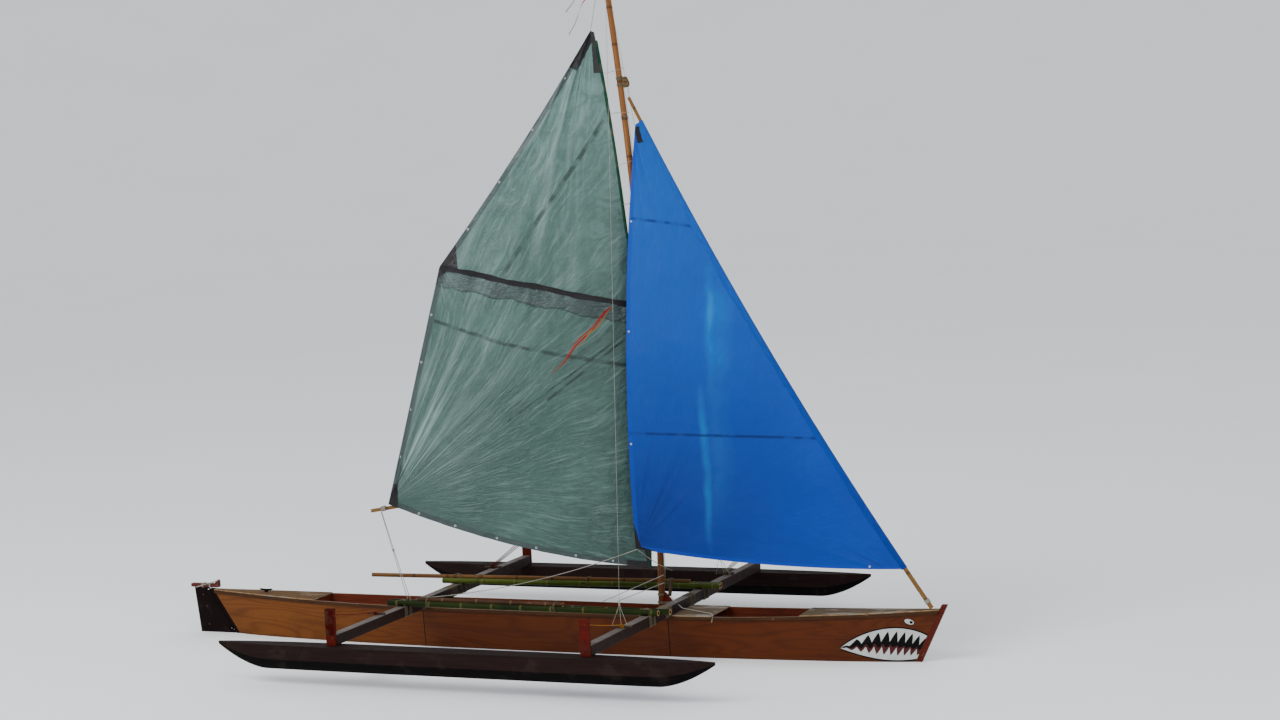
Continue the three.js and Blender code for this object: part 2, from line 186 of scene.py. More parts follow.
def grid(points: Array, pairs: Array, loop: bool = False, slot: int = 0) -> Surface:
    """Quads over rows and columns of points.

    Args:
        points: rows by columns by 3.
        pairs: the UV pairs of the points, with one column more if the columns close into a loop.
        loop: whether the last column joins the first.
        slot: the material slot.

    Returns:
        The surface.
    """
    rows, columns = points.shape[:2]
    index = np.arange(rows * columns).reshape(rows, columns)
    if loop:
        index = np.hstack([index, index[:, :1]])

    def corners(values: Array) -> Array:
        """The values at the four corners of each quad."""
        ring = [values[:-1, :-1], values[1:, :-1], values[1:, 1:], values[:-1, 1:]]
        return np.stack(ring, 2).reshape(-1, 4, *values.shape[2:])

    return Surface(points.reshape(-1, 3), [corners(index)], [corners(pairs)], [slot])


def rings(points: Array, lengths: Array, capped: bool = True, slot: int = 0) -> Surface:
    """A skin over rings of points, each closed on itself. u runs once round and v is the length in metres.

    Args:
        points: rings by points by 3.
        lengths: how far each ring is along the shape.
        capped: whether the two ends are closed.
        slot: the material slot.

    Returns:
        The skin.
    """
    count, sides = points.shape[:2]
    pairs = spots(*crossed(lengths, np.linspace(0, 1, sides + 1))[::-1])
    skin = grid(points, pairs, loop=True, slot=slot)
    if capped:
        for row in (0, count - 1):
            skin.faces.append((row * sides + np.arange(sides))[None])
            skin.pairs.append(pairs[row, :-1][None])
            skin.slots.append(slot)
    return skin


def slab(outer: Array, inner: Array, pairs: Array, slots: tuple[int, int, int] = (0, 0, 0)) -> Surface:
    """A closed plate between two grids of points. slots are those of its outer face, inner face and rim.

    Args:
        outer: rows by columns by 3.
        inner: the same grid on the other face.
        pairs: the UV pairs of the points.
        slots: the three material slots.

    Returns:
        The closed plate.
    """
    rows, columns = outer.shape[:2]
    index = np.arange(rows * columns).reshape(rows, columns)
    border = np.concatenate([index[:-1, 0], index[-1, :-1], index[:0:-1, -1], index[0, :0:-1]])
    onward = np.roll(border, -1)
    back = border + rows * columns
    plate = joined([grid(outer, pairs, slot=slots[0]), grid(inner, pairs, slot=slots[1])])
    flat = pairs.reshape(-1, 2)
    plate.faces.append(np.stack([border, onward, np.roll(back, -1), back], 1))
    plate.pairs.append(np.stack([flat[border], flat[onward], flat[onward], flat[border]], 1))
    plate.slots.append(slots[2])
    return plate


def joined(parts: Sequence[Surface]) -> Surface:
    """Several surfaces as one, each with its own slots.

    Args:
        parts: the surfaces.

    Returns:
        The one surface.
    """
    starts = np.cumsum([0] + [len(part.points) for part in parts[:-1]])
    return Surface(
        np.concatenate([part.points for part in parts]),
        [faces + start for part, start in zip(parts, starts) for faces in part.faces],
        [pairs for part in parts for pairs in part.pairs],
        [slot for part in parts for slot in part.slots],
        {name: np.concatenate([part.marks[name] for part in parts]) for name in parts[0].marks})


def lengths_along(path: Array) -> Array:
    """The length of a path from its start to each of its points."""
    return np.concatenate([[0], np.cumsum(np.linalg.norm(np.diff(path, axis=0), axis=1))])


def sweep(path: Array, outline: Array, scale: Array | float = 1.0, up: Sequence[float] = (0, 0, 1)) -> Surface:
    """An outline carried along a path, square to it. Its first axis is up crossed with the path's direction.

    Args:
        path: the points of the path, n by 3.
        outline: the section's points, k by 2.
        scale: a factor on the outline, one for all of it or one for each point of the path.
        up: a direction that the path never follows.

    Returns:
        The closed skin.
    """
    ahead = unit(np.gradient(path, axis=0))
    across = unit(np.cross(np.asarray(up, float), ahead))
    over = np.cross(ahead, across)
    reach = outline * np.reshape(scale, (-1, 1, 1))
    points = path[:, None] + reach[..., :1] * across[:, None] + reach[..., 1:] * over[:, None]
    return rings(points, lengths_along(path))


def rope(path: Array, radius: float, up: Sequence[float] = (1, 0, 0), sides: int = 6) -> Surface:
    """A round rope along a path that never follows up."""
    return sweep(path, circle(sides, radius), up=up)


def line(*points: Spot | Array, step: float = 0.05, sag: float = 0.0) -> Array:
    """A path straight from point to point, cut to short steps, with each span sagging by a share of itself.

    Args:
        step: the longest step, in metres.
        sag: the share of a span's length.
        points: the ends of the spans.

    Returns:
        The path's points.
    """
    spans = []
    for start, end in zip(points[:-1], points[1:]):
        start, end = np.asarray(start, float), np.asarray(end, float)
        length = np.linalg.norm(end - start)
        share = np.linspace(0, 1, max(3, int(length / step) + 1))
        span = mixed(start, end, share[:, None])
        span[:, 2] -= arch(share, sag * length)
        spans.append(span[:-1])
    return np.concatenate([*spans, np.asarray(points[-1], float)[None]])


def helix(start: Spot, axis: Spot, radii: Pair, turns: float, pitch: float, square: float = 1.0,
          first: Spot = (0, 0, 1), steps: int = 28) -> Array:
    """A path wound round an axis.

    A point at angle a stands at the half widths times cos(a) and sin(a), each raised to the power square:
    1 winds an ellipse, and 0.3 nearly a rectangle.

    Args:
        start: the middle of the first turn.
        axis: the direction that the turns advance in.
        radii: the half widths along first and along the third direction.
        turns: how many turns there are.
        pitch: how far a turn advances.
        square: the power.
        first: a direction across the axis.
        steps: the number of points on a turn.

    Returns:
        The path's points.
    """
    axis_way = unit(np.asarray(axis, float))
    first_way = unit(np.asarray(first, float) - np.dot(first, axis_way) * axis_way)
    angle = np.linspace(0, 2 * math.pi * turns, int(steps * turns) + 1)
    wave = on_circle(angle)
    wave = np.sign(wave) * np.abs(wave) ** square * radii
    ways = np.stack([first_way, np.cross(axis_way, first_way)])
    return np.asarray(start, float) + np.outer(angle / (2 * math.pi) * pitch, axis_way) + wave @ ways


def lathe(profile: Sequence[Pair], sides: int) -> Surface:
    """A profile of radius and height, turned round +Z and closed at both ends.

    Args:
        profile: pairs of radius and height, from the bottom up.
        sides: the number of points on a turn.

    Returns:
        The closed shape.
    """
    radius, height = np.array(profile, float).T
    turned = radius[:, None, None] * circle(sides)
    return rings(spots(turned[..., 0], turned[..., 1], height[:, None]), height)


def torus(radius: float, thickness: float) -> Surface:
    """A flat ring about +Z: a small circle of half its thickness, carried round a large one.

    Args:
        radius: the large circle's radius, in metres.
        thickness: the small circle's width, in metres.

    Returns:
        The ring.
    """
    sides, across = 14, np.arange(6) / 6 * 2 * math.pi
    turn, roll = crossed(np.append(np.arange(sides) / sides * 2 * math.pi, 0), across)
    reach = radius + thickness / 2 * np.cos(roll)
    points = spots(reach * np.cos(turn), reach * np.sin(turn), thickness / 2 * np.sin(roll))
    return rings(points, np.linspace(0, 2 * math.pi * radius, sides + 1), capped=False)


def button(radius: float, height: float, sides: int = 10) -> Surface:
    """A low round head, standing on z = 0."""
    return lathe([(radius, -height / 2), (radius, height * 0.4), (radius * 0.75, height * 0.85),
                  (radius * 0.3, height)], sides)


def scatter(template: Surface, places: Array, normals: Array) -> Surface:
    """A copy of a small shape at each place, with its +Z turned to the normal there.

    Args:
        template: the small shape, about the origin.
        places: where the copies stand, n by 3.
        normals: one direction for all, or one for each.

    Returns:
        The copies as one surface.
    """
    up = unit(np.broadcast_to(np.asarray(normals, float), np.shape(places)))
    level = np.where(np.abs(up[:, 2:]) < 0.9, [0.0, 0.0, 1.0], [1.0, 0.0, 0.0])
    ahead = unit(np.cross(level, up))
    basis = np.stack([ahead, np.cross(up, ahead), up], -1)
    points = np.einsum("nij,vj->nvi", basis, template.points) + np.asarray(places, float)[:, None]
    shift = np.arange(len(places)) * len(template.points)
    return Surface(
        points.reshape(-1, 3),
        [(faces[None] + shift[:, None, None]).reshape(-1, faces.shape[1]) for faces in template.faces],
        [np.tile(pairs, (len(places), 1, 1)) for pairs in template.pairs], template.slots)


# Nodes of materials

class Value:
    """A socket of a graph, which counts with other sockets and with numbers by Math nodes."""

    def __init__(self, graph: "Graph", socket: bpy.types.NodeSocket) -> None:
        """Takes the socket and the graph that it belongs to."""
        self.graph, self.socket = graph, socket

    def math(self, operation: str, *others: object) -> "Value":
        """The result of a Math node on this socket and others."""
        return self.graph.math(operation, self, *others)

    def __add__(self, other: object) -> "Value":
        """The sum."""
        return self.math("ADD", other)

    def __radd__(self, other: object) -> "Value":
        """The sum, with a number first."""
        return self.graph.math("ADD", other, self)

    def __sub__(self, other: object) -> "Value":
        """The difference."""
        return self.math("SUBTRACT", other)

    def __rsub__(self, other: object) -> "Value":
        """The difference, with a number first."""
        return self.graph.math("SUBTRACT", other, self)

    def __mul__(self, other: object) -> "Value":
        """The product."""
        return self.math("MULTIPLY", other)

    def __truediv__(self, other: object) -> "Value":
        """The quotient."""
        return self.math("DIVIDE", other)

    def remap(self, low: object, high: object, to_low: float = 0.0, to_high: float = 1.0) -> "Value":
        """The value moved from one range to another, and held inside it."""
        return self.graph.add("MapRange", {"Value": self, "From Min": low, "From Max": high, "To Min": to_low,
                                           "To Max": to_high})


class Graph:
    """Adds linked nodes to one node tree, and feeds the shader of a material."""

    def __init__(self, tree: bpy.types.NodeTree) -> None:
        """Takes the tree and, if it has one, its shader."""
        self.tree = tree
        self.shader = tree.nodes.get("Principled BSDF")

    def feed(self, socket: bpy.types.NodeSocket, value: object) -> None:
        """Links a value into a socket, or sets the socket to a number, vector or colour.

        Args:
            socket: the socket.
            value: another node's socket, or what the socket is set to.
        """
        if isinstance(value, Value):
            self.tree.links.new(value.socket, socket)
        else:
            socket.default_value = linear(value) if socket.type == "RGBA" else value

    def out(self, name: str, value: Value) -> None:
        """Feeds an input of the shader."""
        self.feed(self.shader.inputs[name], value)

    def add(self, kind: str, inputs: dict, output: int | str = 0, **settings: object) -> Value:
        """An output of a new node of the kind, with its settings and its inputs by name or number.

        Args:
            kind: the node's type, without the word ShaderNode.
            inputs: what each input is fed with.
            output: the output, by name or number.
            settings: the node's own settings.

        Returns:
            The output.
        """
        node = self.tree.nodes.new("ShaderNode" + kind)
        for name, value in settings.items():
            setattr(node, name, value)
        for key, value in inputs.items():
            self.feed(node.inputs[key], value)
        return Value(self, node.outputs[output])

    def math(self, operation: str, *values: object) -> Value:
        """The result of a Math node."""
        return self.add("Math", dict(enumerate(values)), operation=operation)

    def vectors(self, operation: str, *values: object, output: int | str = 0) -> Value:
        """The result of a Vector Math node."""
        return self.add("VectorMath", dict(enumerate(values)), output, operation=operation)

    def mix(self, share: object, first: object, second: object, blend: str = "MIX") -> Value:
        """A colour between two colours."""
        return self.add("Mix", {0: share, 6: first, 7: second}, 2, data_type="RGBA", blend_type=blend)

    def noise(self, vector: Value, scale: object, detail: float = 2.0, roughness: float = 0.5,
              distortion: float = 0.0) -> Value:
        """The value of a Noise Texture."""
        return self.add("TexNoise", {"Vector": vector, "Scale": scale, "Detail": detail, "Roughness": roughness,
                                     "Distortion": distortion}, "Fac")

    def stretch(self, vector: Value, scale: Spot, turn: Spot = (0, 0, 0)) -> Value:
        """The vector through a Mapping node."""
        return self.add("Mapping", {"Vector": vector, "Scale": scale, "Rotation": turn})

    def apart(self, vector: Value) -> list[Value]:
        """The three parts of a vector."""
        first = self.add("SeparateXYZ", {"Vector": vector})
        return [Value(self, socket) for socket in first.socket.node.outputs]

    def together(self, *parts: object) -> Value:
        """A vector of its parts."""
        return self.add("CombineXYZ", dict(enumerate(parts)))

    def place(self, kind: str = "Object") -> Value:
        """A texture coordinate."""
        return self.add("TexCoord", {}, kind)

    def mark(self, name: str) -> Value:
        """A named value that the mesh carries."""
        return self.add("Attribute", {}, "Fac", attribute_name=name)

    def bump(self, height: Value, distance: float, strength: float) -> None:
        """Feeds the shader the normal of a Bump node, its distance in metres."""
        self.out("Normal", self.add("Bump", {"Height": height, "Distance": distance, "Strength": strength}))


def effect(name: str, output: str, **inputs: object) -> Callable:
    """Turns a function that fills a shader node group into one that places the group in a graph.

    The group is made the first time that it is placed.

    Args:
        name: the group's name.
        output: the name of its one output.
        inputs: each input after Vector and its default, a number or a vector.

    Returns:
        The decorator. The placing function takes the graph, the vector, and other inputs by name.
    """
    sockets = {"Vector": ORIGIN, **inputs}

    def decorate(fill: Callable) -> Callable:
        """Takes the function that fills the group.

        Args:
            fill: the function.

        Returns:
            A function that places the group.
        """

        def made() -> bpy.types.NodeTree:
            """Makes the group.

            Returns:
                The group's node tree.
            """
            tree = bpy.data.node_groups.new(name, "ShaderNodeTree")
            for key, value in sockets.items():
                kind = "NodeSocketFloat" if isinstance(value, float) else "NodeSocketVector"
                tree.interface.new_socket(key, in_out="INPUT", socket_type=kind).default_value = value
            kind = "NodeSocketVector" if output == "Vector" else "NodeSocketFloat"
            tree.interface.new_socket(output, in_out="OUTPUT", socket_type=kind)
            entry, graph = tree.nodes.new("NodeGroupInput"), Graph(tree)
            result = fill(graph, *(Value(graph, entry.outputs[key]) for key in sockets))
            graph.feed(tree.nodes.new("NodeGroupOutput").inputs[0], result)
            return tree

        def placed(graph: Graph, vector: Value, **values: object) -> Value:
            """Places the group in a graph and feeds it.

            Args:
                graph: the graph that it adds nodes to.
                vector: the place on the surface.
                values: the inputs' values, by name.

            Returns:
                The group's output.
            """
            tree = bpy.data.node_groups.get(name) or made()
            node = graph.tree.nodes.new("ShaderNodeGroup")
            node.node_tree = tree
            for key, value in {"Vector": vector, **values}.items():
                graph.feed(node.inputs[key], value)
            return Value(graph, node.outputs[0])

        return placed

    return decorate


@effect("Veneer figure", "Figure", Scale=1.0, Lines=30.0)
def figure(graph: Graph, vector: Value, scale: Value, lines: Value) -> Value:
    """The flowing figure of peeled veneer: the contour lines of a slow noise, crossed by fine fibres.

    Args:
        graph: the graph that it adds nodes to.
        vector: the place on the surface.
        scale: the noise's scale.
        lines: two pi times the number of contour lines.

    Returns:
        A value of the graph.
    """
    slow = graph.noise(vector, scale, detail=1.5, distortion=0.5)
    thin = (slow * lines).math("SINE").remap(-1.0, 1.0).math("POWER", 2.5)
    fibre = graph.noise(graph.stretch(vector, (3, 40, 60)), 1.6, detail=3.0)
    return graph.add("Mix", {0: 0.35, 2: thin, 3: fibre})


@effect("Blotches", "Mask", Scale=4.0, Amount=0.3)
def blotches(graph: Graph, vector: Value, scale: Value, amount: Value) -> Value:
    """Soft-edged patches of stain or wear. Amount is the share of the surface that they take."""
    cloud = graph.noise(vector, scale, detail=5.0, roughness=0.62)
    return (cloud - (0.74 - amount * 0.5)).remap(0.0, 0.09)


@effect("Streaks", "Streak", Length=0.5, Width=0.01)
def streaks(graph: Graph, vector: Value, length: Value, width: Value) -> Value:
    """Long thin streaks along x of the vector."""
    x, y, z = graph.apart(vector)
    return graph.noise(graph.together(x / length, y / width, z / width), 1.0, detail=3.0, roughness=0.6)


@effect("Crinkles", "Height", Scale=12.0)
def crinkles(graph: Graph, vector: Value, scale: Value) -> Value:
    """The sharp-ridged crinkles of handled plastic cloth, from a ridged noise."""
    large = graph.noise(vector, scale, detail=3.0, roughness=0.55, distortion=0.7)
    return 1.0 - (large - 0.5).math("ABSOLUTE") * 4.0


@effect("Strands", "Height", Pitch=0.03)
def strands(graph: Graph, vector: Value, pitch: Value) -> Value:
    """The twisted strands of a rope, on a UV map whose u runs round it and whose v is metres."""
    around_it, along, _ = graph.apart(vector)
    return ((around_it * 3.0 + along / pitch) * (2 * math.pi)).math("SINE").math("ABSOLUTE")


@effect("Stripe", "Mask", From=ORIGIN, Angle=0.0, Length=1.0, Width=0.03, Soft=0.003, Fade=0.003)
def stripe(graph: Graph, vector: Value, start: Value, angle: Value, length: Value, width: Value, soft: Value,
           fade: Value) -> Value:
    """A straight stripe on a cloth's UV map, in metres.

    From is where its middle line starts, Angle its direction, Length its length, Width its width, and Soft
    and Fade how far its sides and its ends fade.

    Args:
        graph: the graph that it adds nodes to.
        vector: the UV map.
        start: From.
        angle: Angle, in radians.
        length: Length.
        width: Width.
        soft: Soft.
        fade: Fade.

    Returns:
        The stripe's mask.
    """
    turned = graph.add("VectorRotate", {"Vector": graph.vectors("SUBTRACT", vector, start), "Angle": angle},
                       rotation_type="Z_AXIS", invert=True)
    along, across, _ = graph.apart(turned)
    half = width * 0.5
    wide = across.math("ABSOLUTE").remap(half, half - soft)
    return wide * (along.remap(0.0, fade) * (length - along).remap(0.0, fade))


@effect("Around", "Vector", Corner=ORIGIN, Spread=26.0, Along=5.0)
def around(graph: Graph, vector: Value, corner: Value, spread: Value, along: Value) -> Value:
    """Turns a UV map in metres into the angle round a corner, times Spread, and the distance, times Along.

    Args:
        graph: the graph that it adds nodes to.
        vector: the UV map.
        corner: the corner.
        spread: the factor on the angle.
        along: the factor on the distance.

    Returns:
        A value of the graph.
    """
    away = graph.vectors("SUBTRACT", vector, corner)
    x, y, _ = graph.apart(away)
    angle = y.math("ARCTAN2", x) + graph.noise(vector, 1.6, detail=1.0) * 0.1
    return graph.together(angle * spread, graph.vectors("LENGTH", away, output="Value") * along)


@effect("Rays", "Fold", Corner=ORIGIN, Rays=60.0, Reach=1.0, Aim=0.0, Open=1.0)
def rays(graph: Graph, vector: Value, corner: Value, count: Value, reach: Value, aim: Value, opening: Value) -> Value:
    """Fine folds that fan out from a corner, from a noise over the angle, fading with distance over Reach.

    They lie within Open radians of the direction Aim.

    Args:
        graph: the graph that it adds nodes to.
        vector: the UV map.
        corner: the corner.
        count: about how many folds there are to a radian.
        reach: Reach, in metres.
        aim: the direction, in radians.
        opening: half the fan's angle, in radians.

    Returns:
        The folds' mask.
    """
    away = graph.vectors("SUBTRACT", vector, corner)
    x, y, _ = graph.apart(away)
    far, angle = graph.vectors("LENGTH", away, output="Value"), y.math("ARCTAN2", x)
    aimed = ((angle - aim).math("ABSOLUTE") / opening).remap(1.0, 0.3)
    lines = graph.noise(graph.together(angle * count, far * 0.7, 0.0), 1.0, detail=3.0, roughness=0.6)
    share = far / reach
    return lines.remap(0.47, 0.74) * aimed * (share * share * -1.0).math("EXPONENT")


def linear(colour: Sequence[float]) -> tuple[float, ...]:
    """A screen colour of 0 to 255 as a shader's colour.

    Args:
        colour: the screen colour.

    Returns:
        Its red, green, blue and alpha.
    """
    share = np.array(colour) / 255
    value = np.where(share <= 0.04045, share / 12.92, ((share + 0.055) / 1.055) ** 2.4)
    return (*map(float, value), 1.0)


def darker(colour: Colour, share: float) -> Colour:
    """A share of each part of a colour."""
    return tuple(int(part * share) for part in colour)


# Finishes

@dataclass(frozen=True)
class Finish:
    """A finish with a name and a main colour. Each kind adds its own nodes in dress()."""

    name: str
    colour: Colour
    roughness: float = 0.5
    gloss: float = 0.25

    def dress(self, graph: Graph) -> None:
        """Feeds the shader. A plain finish has only its colour, a little uneven."""
        graph.out("Base Color", graph.mix(graph.noise(graph.place(), 9.0, detail=4.0), darker(self.colour, 0.8),
                                          self.colour))

    def material(self) -> bpy.types.Material:
        """The material, made the first time that it is asked for.

        Returns:
            The material.
        """
        found = bpy.data.materials.get(self.name)
        if found:
            return found
        made = bpy.data.materials.new(self.name)
        made.use_nodes = True
        graph = Graph(made.node_tree)
        graph.out("Roughness", self.roughness)
        graph.out("Specular IOR Level", self.gloss)
        made.diffuse_color = linear(self.colour)
        self.dress(graph)
        return made


@dataclass(frozen=True)
class Varnish(Finish):
    """Varnished plywood, with its veneer's figure. It is redder and darker from amidships to the bow."""

    forward: Colour = (112, 52, 26)

    def dress(self, graph: Graph) -> None:
        """Colour from the figure, the place along the hull and stains, with a varnished gloss.

        Args:
            graph: the graph that it adds nodes to.
        """
        place = graph.place()
        x, _, z = graph.apart(place)
        grain = figure(graph, graph.stretch(place, (0.26, 1, 2.2)), Scale=1.5, Lines=120.0)
        light = graph.mix(x.remap(-2.3, -0.9), self.colour, self.forward)
        deep = graph.mix(1.0, light, (158, 132, 104), "MULTIPLY")
        stain = blotches(graph, graph.stretch(place, (0.5, 1, 1.3)), Scale=2.2, Amount=0.4)
        base = graph.mix(stain * 0.3, graph.mix(grain * 0.5, light, deep), deep)
        graph.out("Base Color", graph.mix(z.remap(0.03, -0.02, 0.0, 0.6), base, (46, 34, 22)))
        graph.out("Roughness", grain.remap(0.0, 1.0, self.roughness, self.roughness + 0.12))
        graph.bump(grain, 0.0004, 0.4)
        graph.out("Coat Weight", 0.06)
        graph.out("Coat Roughness", 0.25)


@dataclass(frozen=True)
class Paint(Finish):
    """Brushed paint on timber, which wears through to a paler ground."""

    worn: Colour = (150, 120, 95)
    wear: float = 0.12
    bleach: float = 0.0

    def dress(self, graph: Graph) -> None:
        """Colour from brush strokes, dirt and wear, and weathered on the faces that look up by bleach.

        Args:
            graph: the graph that it adds nodes to.
        """
        place = graph.place()
        stroke = streaks(graph, place, Length=0.6, Width=0.02)
        dirt = blotches(graph, place, Scale=5.0, Amount=0.35)
        base = graph.mix(stroke.remap(0.3, 0.7), darker(self.colour, 0.72), self.colour)
        base = graph.mix(dirt * 0.22, base, (58, 50, 44))
        worn = blotches(graph, graph.stretch(place, (1, 1.6, 1.6)), Scale=17.0, Amount=self.wear)
        if self.bleach:
            upward = graph.apart(graph.place("Normal"))[2].remap(0.8, 0.97, 0.0, self.bleach)
            worn = worn.math("MAXIMUM", upward * stroke.remap(0.3, 0.62, 0.4))
        graph.out("Base Color", graph.mix(worn, base, self.worn))
        graph.out("Roughness", dirt.remap(0.0, 1.0, self.roughness, self.roughness + 0.2))
        graph.bump(stroke, 0.0009, 0.35)


@dataclass(frozen=True)
class Timber(Finish):
    """Bare timber or ply, weathered to silver in places, with its fibres along x."""

    dark: Colour = (92, 74, 56)
    silver: Colour = (150, 144, 132)
    weather: float = 0.4

    def dress(self, graph: Graph) -> None:
        """Colour from fibres, checks and weathering.

        Args:
            graph: the graph that it adds nodes to.
        """
        place = graph.place()
        fibre = streaks(graph, place, Length=0.35, Width=0.007)
        base = graph.mix(fibre.remap(0.3, 0.68), self.dark, self.colour)
        grey = blotches(graph, graph.stretch(place, (0.7, 2, 2)), Scale=3.0, Amount=self.weather)
        base = graph.mix(grey * 0.7, base, self.silver)
        check = streaks(graph, place, Length=0.2, Width=0.003).remap(0.36, 0.3)
        graph.out("Base Color", graph.mix(check, base, (48, 38, 30)))
        graph.bump(fibre, 0.0012, 0.5)


@dataclass(frozen=True)
class Cane(Finish):
    """Bamboo. The mark `ring` is 1 at its nodes. u runs round it and v is metres along it."""

    second: Colour = (190, 150, 95)
    ring: Colour = (178, 150, 100)
    peel: float = 0.1
    foot: Pair | None = None

    def dress(self, graph: Graph) -> None:
        """Colour from fibres, patches where the skin has gone, and the nodes' rings.

        Args:
            graph: the graph that it adds nodes to.
        """
        u, v, _ = graph.apart(graph.place("UV"))
        vector = graph.together(v, u, 0.0)
        fibre = streaks(graph, vector, Length=0.7, Width=0.06)
        base = graph.mix(fibre.remap(0.28, 0.66), darker(self.colour, 0.55), self.colour)
        warm = graph.noise(graph.place(), 2.1, detail=3.0).remap(0.42, 0.62)
        base = graph.mix(warm * 0.4, base, self.second)
        bare = blotches(graph, graph.stretch(vector, (2.2, 2.0, 1)), Scale=2.1, Amount=self.peel)
        base = graph.mix(bare, base, self.ring)
        if self.foot:
            base = graph.mix(graph.apart(graph.place())[2].remap(*self.foot, 0.8, 0.0), base, (62, 24, 12))
        base = graph.mix(graph.mark("ring").remap(0.45, 0.9) * 0.75, base, self.ring)
        graph.out("Base Color", graph.mix(graph.mark("scar").remap(0.5, 0.9), base, (52, 36, 24)))
        graph.bump(fibre, 0.0008, 0.4)
        graph.out("Roughness", bare.remap(0.0, 1.0, self.roughness, 0.7))


@dataclass(frozen=True)
class Strip:
    """A straight strip in a sail's plane: its ends and width in metres, how strong it shows, and its ends' fade."""

    start: Pair
    end: Pair
    width: float
    depth: float = 1.0
    fade: float = 0.002

    def mask(self, graph: Graph, flat: Value, soft: float = 0.003) -> Value:
        """The strip's mask over a UV map in metres.

        Args:
            graph: the graph that it adds nodes to.
            flat: the UV map, in metres.
            soft: how far its edge fades, in metres.

        Returns:
            The mask.
        """
        dx, dz = self.end[0] - self.start[0], self.end[1] - self.start[1]
        return stripe(graph, flat, From=(*self.start, 0.0), Angle=math.atan2(dz, dx), Length=math.hypot(dx, dz),
                      Width=self.width, Soft=soft, Fade=self.fade) * self.depth


